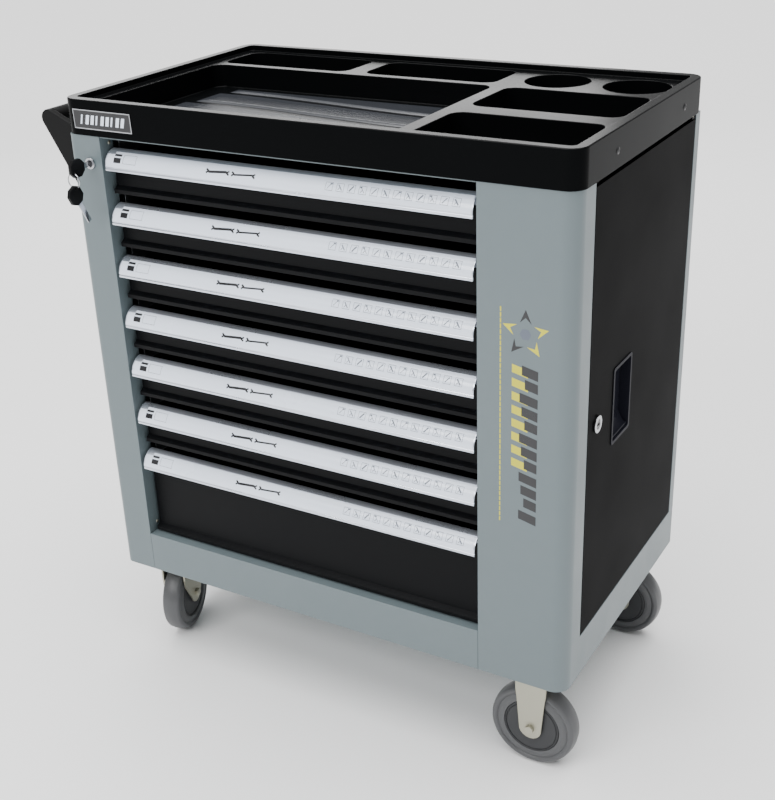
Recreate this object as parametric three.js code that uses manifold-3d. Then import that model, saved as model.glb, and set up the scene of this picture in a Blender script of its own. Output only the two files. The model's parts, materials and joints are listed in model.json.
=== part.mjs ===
// Rolling tool chest: seven drawers, a side locker with a door, a moulded top tray, a side push
// handle, a central drawer lock and four casters. Millimetres, +Z up, the floor at Z = 0, the front
// of the chest towards -Y. The origin is on the floor at the centre of the whole outline.
import * as THREE from 'three';
import { mergeVertices } from 'three/addons/utils/BufferGeometryUtils.js';
import Module from 'manifold-3d';

const wasm = await Module();
wasm.setup();

// ---------------------------------------------------------------- driving dimensions
const GAP = 0.3;                 // between pieces that touch
const SHEET = 1.2;               // cabinet and drawer sheet steel
const BODY = { width: 740, depth: 432, height: 679, leftRadius: 10, rightRadius: 22 };
const CASTER_HEIGHT = 155;       // floor to the underside of the cabinet

const COLUMN_LEFT = 55;          // width of the left front column
const COLUMN_RIGHT = 125.5;      // width of the right front column
const COLUMN_RETURN = 26;        // depth of the returns beside the drawers
const REAR_FLANGE = 18;
const BOTTOM_RAIL = 63;          // height of the rail under the drawers
const DECK_LIP = { drop: 2.3, inset: 1.2 };

const TRAY = {
  underRoom: 4.3, wall: 2, skin: 2.4, clearance: 0.4, rim: 14, deckDrop: 8, pocketDepth: 33, radius: 22,
};
const COMPARTMENT_RADIUS = 18;
const TRAY_POCKETS = {           // inset from the skirt's left, front, right and rear faces
  left: 32, front: 26, right: 26, rear: 26,
  rearDepth: 90, rearSplit: 248, web: 14, splitWeb: 30, smallWidth: 203, smallDepth: 120, bigStop: 21,
};
const CUP = { diameter: 90, inset: 24, pitch: 113 };
const NAME_PLATE = { left: 18, width: 98, top: 12.5, height: 26, lean: 1, thick: 1 };
const RIB = { count: 4, height: 2.2, width: 7, sweep: 34, clear: 20 };

const DRAWER = {
  count: 7, pitch: 76, firstLip: 46, fingerGap: 15, frontInset: 19, frontClear: 5,
  sideGap: 13, rearClear: 12, boxTop: 18, ridge: 7,
};
const PULL = { height: 27, sweep: 22, bead: 5, groove: 0.6, wall: 1.6, flange: 15 };
const SLIDE = { height: 35, wall: 1.2, clearance: 1.3, drop: 11, flange: 9.4, frontClear: 12 };

const DOOR = { gap: 1.6, hingeGap: 2.6, depth: 15, front: 50, topGap: 7, pivotInset: 4.5, wall: 1.2 };
const PIN = { radius: 2.5, clearance: 0.3, length: 16, head: 3 };
const JAMB = { lip: 10, depth: 4 };
const LOCK = { proud: 2.4, length: 20, clearance: 0.3 };
const DOOR_CAM_LOCK = { radius: 9.5, flange: 11.5, plug: 6.2 };
const DRAWER_CAM_LOCK = { radius: 6.6, flange: 8, plug: 4.6 };
const DOOR_LOCK = { fromFront: 31, fromBottom: 363 };
const DOOR_CUP = { fromFront: 84, width: 66, fromBottom: 307, height: 109, depth: 16, bezel: 3, wall: 2, proud: 0.8 };
const SHELVES = { count: 2, lip: 12 };

const HANDLE = { reach: 58, rise: 9, nose: 12.5, base: 110, plate: 10, inset: 26, tube: 12.5, wall: 2 };
const DRAWER_LOCK = { fromLeft: 35, fromTop: 38, crank: 8 };
const LOCK_BAR = { width: 12, reach: 6, thick: 3, tab: 5.5, tabRise: 7, lug: 3, lugHeight: 4,
  slotClear: 2.4 };
const KEY = { blade: 20, width: 7, thick: 2, neck: 13, headLength: 26, headHeight: 24,
  headThick: 5, ring: 10, wire: 0.8, rest: 27 };

const CASTER = {
  fromSide: 58, fromFront: 43, swivelFromSide: 48, swivelFromFront: 52, trail: 30,
  wheel: 62.5, tread: 30, hub: 41, boss: 33.4, axle: 4, axleClear: 0.3,
  legGap: 34, leg: 2.5, legWidth: 46, legFoot: 16.5, legStraight: 30, forkFront: -8,
  plate: 2.7, plateLong: 90, plateWide: 60,
};
const CASTER_TURN = { front: 15, rear: -84 };   // degrees that each swivel caster stands turned
const BRAKE = { reach: 52, width: 28, thick: 3, rod: 3, pivotBack: 32, pivotUp: 66 };

// ---------------------------------------------------------------- derived levels and edges
const X0 = -BODY.width / 2;
const X1 = BODY.width / 2;
const Y0 = -BODY.depth / 2;
const Y1 = BODY.depth / 2;
const BASE = CASTER_HEIGHT;
const TOP = BASE + BODY.height;
const OPEN_LEFT = X0 + COLUMN_LEFT;
const OPEN_RIGHT = X1 - COLUMN_RIGHT;
const SILL = BASE + BOTTOM_RAIL;
const TRAY_BOTTOM = TOP + GAP;
const TRAY_SKIRT = TRAY.deckDrop + TRAY.pocketDepth + TRAY.skin + TRAY.underRoom;
const TRAY_TOP = TRAY_BOTTOM + TRAY_SKIRT;
const TRAY_OVERHANG = TRAY.wall + TRAY.clearance;
const FRONT_FACE = Y0 + DRAWER.frontInset;      // face of the drawer fronts
const FRONT_LEFT = OPEN_LEFT + DRAWER.frontClear;
const FRONT_RIGHT = OPEN_RIGHT - DRAWER.frontClear;
const BOX_LEFT = OPEN_LEFT + DRAWER.sideGap;
const BOX_RIGHT = OPEN_RIGHT - DRAWER.sideGap;
const BACK_INNER = Y1 - SHEET - GAP - SHEET;    // inner face of the back panel
const BOX_REAR = BACK_INNER - DRAWER.rearClear;
const LINER_FRONT = Y0 + COLUMN_RETURN + SLIDE.frontClear;
const BASE_PAN_TOP = BASE + GAP + 2;
const DECK_UNDER = TOP + GAP;
const DECK_TOP = DECK_UNDER + SHEET;
const DOOR_Y0 = Y0 + DOOR.front + DOOR.gap;
const DOOR_Y1 = Y1 - REAR_FLANGE - DOOR.hingeGap;
const DOOR_Z0 = SILL + DOOR.gap;
const DOOR_Z1 = TOP - DOOR.topGap;
const DOOR_AXIS = { x: X1 - DOOR.pivotInset, y: DOOR_Y1 - DOOR.pivotInset };
const DIVIDER_X = OPEN_RIGHT + 2 * (GAP + SHEET);
const drawerLockAt = { x: X0 + DRAWER_LOCK.fromLeft, z: TOP - DRAWER_LOCK.fromTop };
const lipHeight = (index) => TOP - DRAWER.firstLip - index * DRAWER.pitch;
const RAD = Math.PI / 180;

// ---------------------------------------------------------------- finishes
const finish = (color, roughness, metalness) => ({ color, roughness, metalness });
const GREY_PAINT = finish(0x8f9899, 0.42, 0.1);
const BLACK_PAINT = finish(0x17191b, 0.35, 0.1);
const BLACK_PLASTIC = finish(0x17181a, 0.4, 0);
const ALUMINIUM = finish(0xdfe4ec, 0.3, 0.8);
const ZINC = finish(0xa6a595, 0.38, 0.8);
const CHROME = finish(0xd4d7da, 0.12, 1);
const TYRE = finish(0x606163, 0.6, 0);
const STEEL = finish(0x9a9ea2, 0.4, 0.9);

// ---------------------------------------------------------------- solid helpers
function toSolid(geometry) {
  const bare = geometry.index ? geometry.toNonIndexed() : geometry.clone();
  for (const name of Object.keys(bare.attributes)) {
    if (name !== 'position') bare.deleteAttribute(name);
  }
  const merged = mergeVertices(bare, 1e-4);
  const mesh = new wasm.Mesh({
    numProp: 3,
    vertProperties: new Float32Array(merged.attributes.position.array),
    triVerts: new Uint32Array(merged.index.array),
  });
  return new wasm.Manifold(mesh);
}

function toGeometry(solid) {
  const mesh = solid.getMesh();
  const geometry = new THREE.BufferGeometry();
  geometry.setAttribute('position', new THREE.Float32BufferAttribute(mesh.vertProperties, 3));
  geometry.setIndex(new THREE.Uint32BufferAttribute(mesh.triVerts, 1));
  geometry.computeVertexNormals();
  return geometry;
}

const join = (...solids) => solids.reduce((whole, next) => whole.add(next));
const cut = (solid, ...tools) => tools.reduce((rest, tool) => rest.subtract(tool), solid);

function block(x0, x1, y0, y1, z0, z1) {
  const geometry = new THREE.BoxGeometry(x1 - x0, y1 - y0, z1 - z0);
  geometry.translate((x0 + x1) / 2, (y0 + y1) / 2, (z0 + z1) / 2);
  return toSolid(geometry);
}

function extrude(shape, depth, basis, curveSegments = 5) {
  const geometry = new THREE.ExtrudeGeometry(shape, { depth, bevelEnabled: false, curveSegments });
  geometry.applyMatrix4(basis);
  return toSolid(geometry);
}

// A plan outline (x, y) raised from z0 to z1.
function prismZ(shape, z0, z1, curveSegments) {
  return extrude(shape, z1 - z0, new THREE.Matrix4().makeTranslation(0, 0, z0), curveSegments);
}

// A side outline (y, z) run from x0 to x1.
function prismX(shape, x0, x1, curveSegments) {
  const basis = new THREE.Matrix4().makeBasis(
    new THREE.Vector3(0, 1, 0), new THREE.Vector3(0, 0, 1), new THREE.Vector3(1, 0, 0));
  basis.setPosition(x0, 0, 0);
  return extrude(shape, x1 - x0, basis, curveSegments);
}

// A front outline (x, z) run from y0 to y1.
function prismY(shape, y0, y1, curveSegments) {
  const basis = new THREE.Matrix4().makeBasis(
    new THREE.Vector3(1, 0, 0), new THREE.Vector3(0, 0, 1), new THREE.Vector3(0, -1, 0));
  basis.setPosition(0, y1, 0);
  return extrude(shape, y1 - y0, basis, curveSegments);
}

function polygon(points) {
  return new THREE.Shape(points.map(([x, y]) => new THREE.Vector2(x, y)));
}

function roundedRect(x0, x1, y0, y1, radii) {
  const [r00, r10, r11, r01] = Array.isArray(radii) ? radii : [radii, radii, radii, radii];
  const shape = new THREE.Shape();
  shape.moveTo(x0 + r00, y0);
  shape.lineTo(x1 - r10, y0);
  shape.absarc(x1 - r10, y0 + r10, r10, -Math.PI / 2, 0, false);
  shape.lineTo(x1, y1 - r11);
  shape.absarc(x1 - r11, y1 - r11, r11, 0, Math.PI / 2, false);
  shape.lineTo(x0 + r01, y1);
  shape.absarc(x0 + r01, y1 - r01, r01, Math.PI / 2, Math.PI, false);
  shape.lineTo(x0, y0 + r00);
  shape.absarc(x0 + r00, y0 + r00, r00, Math.PI, Math.PI * 1.5, false);
  return shape;
}

function arc(cx, cy, radius, from, to, steps) {
  const points = [];
  for (let i = 0; i <= steps; i += 1) {
    const angle = (from + (to - from) * i / steps) * RAD;
    points.push([cx + radius * Math.cos(angle), cy + radius * Math.sin(angle)]);
  }
  return points;
}

// The closed outline of a bent sheet: the path is one face, and the other lies to its left.
function bentSheet(path, thickness) {
  const points = path.map(([x, y]) => new THREE.Vector2(x, y));
  const inner = points.map((point, i) => {
    const before = i > 0 ? point.clone().sub(points[i - 1]).normalize() : null;
    const after = i < points.length - 1 ? points[i + 1].clone().sub(point).normalize() : null;
    const along = (before || after).clone().add(after || before).normalize();
    const normal = new THREE.Vector2(-along.y, along.x);
    const edge = before || after;
    const spread = normal.dot(new THREE.Vector2(-edge.y, edge.x));
    return point.clone().addScaledVector(normal, thickness / spread);
  });
  return new THREE.Shape([...points, ...inner.reverse()]);
}

// A round bar or disc along an axis from one point, with its faces square to it.
function rod(axis, start, length, radius, sides = 20) {
  const geometry = new THREE.CylinderGeometry(radius, radius, length, sides);
  geometry.translate(0, length / 2, 0);
  if (axis === 'x') geometry.rotateZ(-Math.PI / 2);
  if (axis === 'z') geometry.rotateX(Math.PI / 2);
  geometry.translate(...start);
  return toSolid(geometry);
}

// ---------------------------------------------------------------- scene helpers
const chest = new THREE.Group();

function addPiece(parent, name, solid, look) {
  const material = new THREE.MeshStandardMaterial(look);
  const mesh = new THREE.Mesh(toGeometry(solid), material);
  mesh.name = name;
  parent.add(mesh);
  return mesh;
}

// ---------------------------------------------------------------- cabinet sheets
function leftSideShell() {
  const r = BODY.leftRadius;
  const path = [
    [OPEN_LEFT, Y0 + COLUMN_RETURN],
    [OPEN_LEFT, Y0],
    ...arc(X0 + r, Y0 + r, r, 270, 180, 6),
    [X0, Y1],
    [X0 + REAR_FLANGE, Y1],
  ];
  path.reverse();
  const lockHole = rod('y', [drawerLockAt.x, Y0 - 2, drawerLockAt.z], 6, DRAWER_CAM_LOCK.radius + LOCK.clearance, 24);
  return cut(prismZ(bentSheet(path, SHEET), BASE, TOP), lockHole);
}

function rightSideShell() {
  const r = BODY.rightRadius;
  const path = [
    [OPEN_RIGHT, Y0 + COLUMN_RETURN],
    [OPEN_RIGHT, Y0],
    ...arc(X1 - r, Y0 + r, r, 270, 360, 7),
    [X1, Y1],
    [X1 - REAR_FLANGE, Y1],
  ];
  const shell = prismZ(bentSheet(path, SHEET), BASE, TOP);
  const doorway = block(X1 - 5, X1 + 5, Y0 + DOOR.front, Y1 - REAR_FLANGE, SILL, TOP + 5);
  return cut(shell, doorway);
}

function frontBottomRail() {
  const z = BASE;
  const back = Y0 + COLUMN_RETURN;
  const path = [
    [back, SILL - 14],
    [back, SILL],
    [Y0, SILL],
    [Y0, z],
  ];
  return prismX(bentSheet(path, SHEET), OPEN_LEFT + GAP, OPEN_RIGHT - GAP);
}

function doorJambFrame() {
  const x1 = X1 - DOOR.depth - 1.5;
  const x0 = x1 - JAMB.depth;
  const outer = block(x0, x1, Y0 + DOOR.front - 8, BACK_INNER - GAP, BASE_PAN_TOP + GAP, TOP - GAP);
  const inner = block(x0 - 1, x1 + 1, DOOR_Y0 + JAMB.lip, DOOR_Y1 - JAMB.lip,
    DOOR_Z0 + JAMB.lip, DOOR_Z1 - JAMB.lip);
  const channel = block(x0 - 1, x1 - SHEET, Y0 + DOOR.front - 8 + SHEET, BACK_INNER - GAP - SHEET,
    BASE_PAN_TOP + GAP + SHEET, TOP - GAP - SHEET);
  const bridge = block(x0, x1, DOOR_Y0 + JAMB.lip - SHEET, DOOR_Y1 - JAMB.lip + SHEET,
    DOOR_Z0 + JAMB.lip - SHEET, DOOR_Z1 - JAMB.lip + SHEET);
  const ears = [DOOR_Z0 - GAP - 3, DOOR_Z1 + GAP].map((z) => {
    const ear = block(x1 - SHEET, DOOR_AXIS.x + 3, DOOR_AXIS.y - 5, DOOR_AXIS.y + 4.6, z, z + 3);
    const hole = rod('z', [DOOR_AXIS.x, DOOR_AXIS.y, z - 1], 5, PIN.radius + PIN.clearance, 16);
    return cut(ear, hole);
  });
  return join(cut(join(cut(outer, channel), bridge), inner), ...ears);
}

function backPanel() {
  const panel = block(X0 + SHEET + 2, X1 - SHEET - 2, BACK_INNER, BACK_INNER + SHEET,
    BASE_PAN_TOP + GAP, TOP - GAP);
  const grooves = [-1, 1].map((side) => {
    const x = side * BODY.width * 0.24;
    return block(x - 4, x + 4, BACK_INNER + SHEET - 0.1, BACK_INNER + SHEET + 0.9, BASE + 60, TOP - 60);
  });
  return join(panel, ...grooves);
}

function basePan() {
  const edge = SHEET + GAP;
  const plan = roundedRect(X0 + edge, X1 - edge, Y0 + edge, Y1 - edge,
    [BODY.leftRadius - edge, BODY.rightRadius - edge, 2, 2]);
  const notches = [OPEN_LEFT - SHEET, OPEN_RIGHT].map((x) => block(x - GAP, x + SHEET + GAP,
    Y0, Y0 + COLUMN_RETURN + GAP, BASE, BASE_PAN_TOP + 1));
  return cut(prismZ(plan, BASE + GAP, BASE_PAN_TOP), ...notches);
}

function topDeck() {
  const plate = prismZ(roundedRect(X0, X1, Y0, Y1, TRAY.radius), DECK_UNDER, DECK_TOP, 6);
  const y = Y0 + DECK_LIP.inset;
  const lip = block(OPEN_LEFT + GAP, OPEN_RIGHT - GAP, y, y + SHEET, DECK_UNDER - DECK_LIP.drop, DECK_TOP);
  return join(plate, lip);
}

function lockerDivider() {
  const path = [
    [DIVIDER_X + 12, LINER_FRONT],
    [DIVIDER_X, LINER_FRONT],
    [DIVIDER_X, BACK_INNER - GAP],
  ];
  return prismZ(bentSheet(path.reverse(), -SHEET), BASE_PAN_TOP + GAP, TOP - GAP);
}

function lockerShelf(index) {
  const z = DOOR_Z0 + (DOOR_Z1 - DOOR_Z0) * (index + 1) / (SHELVES.count + 1);
  const x0 = DIVIDER_X + SHEET + GAP;
  const x1 = X1 - DOOR.depth - 1.5 - JAMB.depth - GAP;
  const path = [
    [x0, z + SHELVES.lip],
    [x0, z],
    [x1, z],
    [x1, z + SHELVES.lip],
  ];
  return prismY(bentSheet(path, SHEET), LINER_FRONT + 14, BACK_INNER - 2);
}

// ---------------------------------------------------------------- drawer slides
function slideRack(side) {
  const web = side < 0 ? OPEN_LEFT : OPEN_RIGHT;
  const into = -side;
  const liner = [web - into * (GAP + SHEET), web - into * GAP].sort((a, b) => a - b);
  const solids = [block(...liner, LINER_FRONT, BACK_INNER - GAP, BASE_PAN_TOP + GAP, TOP - GAP)];
  for (let i = 0; i < DRAWER.count; i += 1) {
    const z = lipHeight(i) - SLIDE.drop;
    const low = z - SLIDE.height / 2;
    const high = z + SLIDE.height / 2;
    const back = web - into * (GAP + SHEET / 2);
    const path = [
      [web + into * SLIDE.flange, high],
      [back, high],
      [back, low],
      [web + into * SLIDE.flange, low],
    ];
    const outline = bentSheet(side < 0 ? path : path.reverse(), SLIDE.wall);
    solids.push(prismY(outline, LINER_FRONT, BOX_REAR - 2));
  }
  return join(...solids);
}

// ---------------------------------------------------------------- drawers
function drawerLevels(index) {
  const lip = lipHeight(index);
  const last = index === DRAWER.count - 1;
  const drop = DRAWER.pitch - PULL.height - DRAWER.fingerGap;
  const bottom = last ? SILL + 3 : lip - drop;
  return { lip, bottom, top: lip + PULL.height - PULL.wall - GAP, boxTop: lip + DRAWER.boxTop };
}

function drawerBox(index) {
  const { lip, bottom, top, boxTop } = drawerLevels(index);
  const face = FRONT_FACE;
  const ridge = face - DRAWER.ridge;
  const path = [
    [face, top],
    [face, bottom + 10],
    [ridge, bottom + 5.5],
    [ridge, bottom],
    [face + 4, bottom],
  ];
  const front = prismX(bentSheet(path, SHEET), FRONT_LEFT, FRONT_RIGHT);
  const outer = block(BOX_LEFT, BOX_RIGHT, face + SHEET / 2, BOX_REAR, bottom, boxTop);
  const inner = block(BOX_LEFT + SHEET, BOX_RIGHT - SHEET, face + SHEET, BOX_REAR - SHEET,
    bottom + SHEET, boxTop + 50);
  const solids = [cut(outer, inner), front];
  const z = lip - SLIDE.drop;
  const half = SLIDE.height / 2 - SLIDE.wall - SLIDE.clearance;
  const rear = BOX_REAR - 4;
  for (const side of [-1, 1]) {
    const wall = side < 0 ? BOX_LEFT : BOX_RIGHT;
    const reach = DRAWER.sideGap - SLIDE.clearance - SLIDE.wall + GAP;
    const member = [
      [wall - side * 0.4, z + half],
      [wall + side * reach, z + half],
      [wall + side * reach, z - half],
      [wall - side * 0.4, z - half],
    ];
    const outline = bentSheet(side < 0 ? member : member.reverse(), SLIDE.wall);
    solids.push(prismY(outline, LINER_FRONT + 2, rear));
  }
  const lugBack = Y0 + LOCK.length + 8 + LOCK_BAR.thick + 1.5;
  solids.push(block(BOX_LEFT - LOCK_BAR.reach, BOX_LEFT + 0.4, lugBack, lugBack + LOCK_BAR.lug,
    boxTop - LOCK_BAR.lugHeight, boxTop));
  return join(...solids);
}

// A thin quarter-round strip: vertical at the lip, level where it caps the drawer front.
function drawerPull(index) {
  const { lip } = drawerLevels(index);
  const seat = FRONT_FACE - GAP;
  const start = lip + PULL.height - PULL.sweep;
  const face = arc(Y0 + PULL.sweep, start, PULL.sweep, 90, 180, 9);
  const skin = prismX(bentSheet(face, PULL.wall), FRONT_LEFT, FRONT_RIGHT);
  const back = Y0 + PULL.wall + 0.8;
  const bead = block(FRONT_LEFT, FRONT_RIGHT, Y0, back, lip, lip + PULL.bead - PULL.groove);
  const neck = block(FRONT_LEFT, FRONT_RIGHT, Y0 + PULL.groove, back, lip + 1, start + 1);
  const foot = block(FRONT_LEFT, FRONT_RIGHT, seat - PULL.wall, seat, lip + PULL.height - PULL.flange,
    lip + PULL.height - PULL.wall / 2 - 0.4);
  return join(skin, bead, neck, foot);
}

// ---------------------------------------------------------------- top tray
function trayPlan(inset) {
  const x0 = X0 - TRAY_OVERHANG + inset;
  const x1 = X1 + TRAY_OVERHANG - inset;
  const y0 = Y0 - TRAY_OVERHANG + inset;
  const y1 = Y1 + TRAY_OVERHANG - inset;
  return roundedRect(x0, x1, y0, y1, TRAY.radius - inset);
}

const trayEdges = {
  left: X0 - TRAY_OVERHANG + TRAY_POCKETS.left,
  right: X1 + TRAY_OVERHANG - TRAY_POCKETS.right,
  front: Y0 - TRAY_OVERHANG + TRAY_POCKETS.front,
  rear: Y1 + TRAY_OVERHANG - TRAY_POCKETS.rear,
};

// Each pocket is [x0, x1, y0, y1] on the deck.
function trayPockets() {
  const { left, right, front, rear } = trayEdges;
  const p = TRAY_POCKETS;
  const rearFront = rear - p.rearDepth;
  const smallLeft = right - p.smallWidth;
  const split = left + p.rearSplit - p.splitWeb;
  const midRear = rearFront - p.web;
  const midFront = midRear - p.smallDepth;
  return {
    large: [left, smallLeft - p.bigStop, front, midRear],
    rearLeft: [left, split, rearFront, rear],
    rearMiddle: [split + p.splitWeb, smallLeft - p.bigStop - 9, rearFront, rear],
    sideMiddle: [smallLeft, right, midFront, midRear],
    sideFront: [smallLeft, right, front, midFront - p.smallDepth * 0.3],
  };
}

function cupCentres() {
  const y = trayEdges.rear - TRAY_POCKETS.rearDepth / 2;
  const x = X1 + TRAY_OVERHANG - CUP.inset - CUP.diameter / 2;
  return [[x - CUP.pitch, y], [x, y]];
}

function ribLine(index) {
  const [x0, x1, y0, y1] = trayPockets().large;
  const first = y0 + RIB.clear + RIB.sweep;
  const y = first + (y1 - RIB.clear - first) * index / (RIB.count - 1);
  const start = x0 + RIB.clear;
  const end = x1 - RIB.clear;
  const points = [];
  const steps = 8;
  for (let i = 0; i <= steps; i += 1) {
    const t = i / steps;
    points.push([start + (end - start) * t, y - RIB.sweep * (1 - Math.cos(Math.PI * t)) / 2]);
  }
  return points;
}

function topTray() {
  const deck = TRAY_TOP - TRAY.deckDrop;
  const floor = deck - TRAY.pocketDepth;
  const skin = TRAY.skin;
  let tray = cut(
    prismZ(trayPlan(0), TRAY_BOTTOM, TRAY_TOP, 6),
    prismZ(trayPlan(TRAY.wall), TRAY_BOTTOM - 1, deck - skin, 6),
    prismZ(trayPlan(TRAY.rim), deck, TRAY_TOP + 1, 6),
    cut(
      prismZ(trayPlan(TRAY.wall), deck - skin - 1, TRAY_TOP - skin, 6),
      prismZ(trayPlan(TRAY.rim - skin), deck - skin - 2, TRAY_TOP, 6),
    ),
  );
  const cups = [];
  const hollows = [];
  for (const [x0, x1, y0, y1] of Object.values(trayPockets())) {
    const r = COMPARTMENT_RADIUS;
    cups.push(prismZ(roundedRect(x0 - skin, x1 + skin, y0 - skin, y1 + skin, r + skin),
      floor - skin, deck - skin / 2, 4));
    hollows.push(prismZ(roundedRect(x0, x1, y0, y1, r), floor, TRAY_TOP + 1, 4));
  }
  for (const [x, y] of cupCentres()) {
    const height = deck - floor;
    cups.push(rod('z', [x, y, floor - skin], height + skin / 2, CUP.diameter / 2 + skin, 28));
    hollows.push(rod('z', [x, y, floor], height + 10, CUP.diameter / 2, 28));
  }
  tray = cut(join(tray, ...cups), ...hollows);
  const ribs = [];
  for (let i = 0; i < RIB.count; i += 1) {
    ribs.push(prismZ(bentSheet(ribLine(i), RIB.width), floor - 0.5, floor + RIB.height));
  }
  return join(tray, ...ribs);
}

// The blank name plate leans: its sides slope back towards the top.
function namePlate() {
  const { left, width, top, height, lean, thick } = NAME_PLATE;
  const x = X0 + left;
  const z = TRAY_TOP - top;
  const outline = polygon([[x, z], [x + lean, z - height], [x + lean + width, z - height], [x + width, z]]);
  const y = Y0 - TRAY_OVERHANG - GAP;
  return prismY(outline, y - thick, y);
}

// ---------------------------------------------------------------- side door and locker lock
const doorLockAt = { y: Y0 + DOOR.front + DOOR_LOCK.fromFront, z: BASE + DOOR_LOCK.fromBottom };
const doorCupAt = {
  y0: Y0 + DOOR.front + DOOR_CUP.fromFront,
  y1: Y0 + DOOR.front + DOOR_CUP.fromFront + DOOR_CUP.width,
  z0: BASE + DOOR_CUP.fromBottom,
  z1: BASE + DOOR_CUP.fromBottom + DOOR_CUP.height,
};

function sideDoor() {
  const t = DOOR.wall;
  const skin = block(X1 - DOOR.depth, X1, DOOR_Y0, DOOR_Y1, DOOR_Z0, DOOR_Z1);
  const hollow = block(X1 - DOOR.depth - 1, X1 - t, DOOR_Y0 + t, DOOR_Y1 - t, DOOR_Z0 + t, DOOR_Z1 - t);
  const { y0, y1, z0, z1 } = doorCupAt;
  const b = DOOR_CUP.bezel - 1;
  const cutouts = [
    block(X1 - 5, X1 + 5, y0 + b, y1 - b, z0 + b, z1 - b),
    rod('x', [X1 - 5, doorLockAt.y, doorLockAt.z], 10, DOOR_CAM_LOCK.radius + LOCK.clearance, 24),
  ];
  for (const z of [DOOR_Z0 - 1, DOOR_Z1 - 4]) {
    cutouts.push(rod('z', [DOOR_AXIS.x, DOOR_AXIS.y, z], 5, PIN.radius + PIN.clearance, 16));
  }
  return cut(skin, hollow, ...cutouts);
}

function doorHandleCup() {
  const { y0, y1, z0, z1 } = doorCupAt;
  const proud = DOOR_CUP.proud;
  const b = DOOR_CUP.bezel;
  const w = DOOR_CUP.wall;
  const face = X1 + GAP;
  const outline = (inset, radius) => {
    const shape = roundedRect(y0 + inset, y1 - inset, z0 + inset, z1 - inset, radius);
    return shape;
  };
  const bezel = prismX(outline(0, 5), face, face + proud);
  const pocket = prismX(outline(b - w + 1.4, 4), face - DOOR_CUP.depth, face + proud / 2);
  const hollow = prismX(outline(b + 1.4, 3), face - DOOR_CUP.depth + w, face + proud + 1);
  return cut(join(bezel, pocket), hollow);
}

function doorHingePin(atTop) {
  const flange = atTop ? DOOR_Z1 : DOOR_Z0;
  const start = atTop ? flange - PIN.length + 7 : flange - 7;
  const shaft = rod('z', [DOOR_AXIS.x, DOOR_AXIS.y, start], PIN.length, PIN.radius, 16);
  const headAt = atTop ? flange + GAP * 2 + 3 : flange - GAP * 2 - 3 - 2;
  const head = rod('z', [DOOR_AXIS.x, DOOR_AXIS.y, headAt], 2, PIN.head, 16);
  const trimmed = atTop
    ? block(DOOR_AXIS.x - 9, DOOR_AXIS.x + 9, DOOR_AXIS.y - 9, DOOR_AXIS.y + 9, headAt + 2, headAt + 20)
    : block(DOOR_AXIS.x - 9, DOOR_AXIS.x + 9, DOOR_AXIS.y - 9, DOOR_AXIS.y + 9, headAt - 20, headAt);
  return cut(join(shaft, head), trimmed);
}

// A cam lock made along local +Z, which points out of the panel; the panel's face is at Z = 0.
function lockBarrel(size) {
  const flange = rod('z', [0, 0, GAP], LOCK.proud, size.flange, 28);
  const barrel = rod('z', [0, 0, -LOCK.length], LOCK.length + GAP + 0.5, size.radius, 28);
  const bore = rod('z', [0, 0, -LOCK.length - 1], LOCK.length + 10, size.plug + LOCK.clearance, 24);
  return cut(join(flange, barrel), bore);
}

function lockPlug(size, arm) {
  const plug = rod('z', [0, 0, -LOCK.length - 2], LOCK.length + 2 + LOCK.proud, size.plug, 24);
  const keyway = block(-KEY.thick / 2 - GAP, KEY.thick / 2 + GAP, -KEY.width / 2 - GAP, KEY.width / 2 + GAP,
    LOCK.proud - KEY.blade - GAP, LOCK.proud + 1);
  return join(cut(plug, keyway), arm);
}

// ---------------------------------------------------------------- keys
function keyHead(length, height, hole) {
  const half = height / 2;
  const cornerCut = height * 0.28;
  const outline = polygon([
    [0, -half + cornerCut],
    [cornerCut, -half],
    [length - cornerCut, -half],
    [length, -half + cornerCut],
    [length, half - cornerCut],
    [length - cornerCut, half],
    [cornerCut, half],
    [0, half - cornerCut],
  ]);
  const ring = new THREE.Path();
  ring.absarc(hole[0], hole[1], 2.2, 0, Math.PI * 2, true);
  outline.holes.push(ring);
  return outline;
}

// A key along local +Z: the blade runs inward from Z = 0 and the head outward, in the YZ plane.
function key(bladeLength, hole) {
  const t = KEY.headThick;
  const head = prismX(polygonYZ(keyHead(KEY.headLength, KEY.headHeight, hole)), -t / 2, t / 2, 4);
  const lifted = head.translate([0, 0, KEY.neck]);
  const blade = block(-KEY.thick / 2, KEY.thick / 2, -KEY.width / 2, KEY.width / 2, -bladeLength, KEY.neck + 1);
  return join(lifted, blade);
}

// Turns an outline drawn as (along, across) into one for prismX, where along is Z and across is Y.
function polygonYZ(shape) {
  const swap = (points) => points.map((p) => new THREE.Vector2(p.y, p.x)).reverse();
  const turned = new THREE.Shape(swap(shape.getPoints(6)));
  for (const hole of shape.holes) turned.holes.push(new THREE.Path(swap(hole.getPoints(6))));
  return turned;
}

// ---------------------------------------------------------------- central lock
function drawerLockPlug() {
  const behind = -LOCK.length - 2;
  const arm = block(-DRAWER_LOCK.crank - 4, 5, -4, 4, behind - 2.5, behind + 0.5);
  const pin = rod('z', [-DRAWER_LOCK.crank, 0, behind - 9], 8, 2, 12);
  return lockPlug(DRAWER_CAM_LOCK, join(arm, pin));
}

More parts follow.
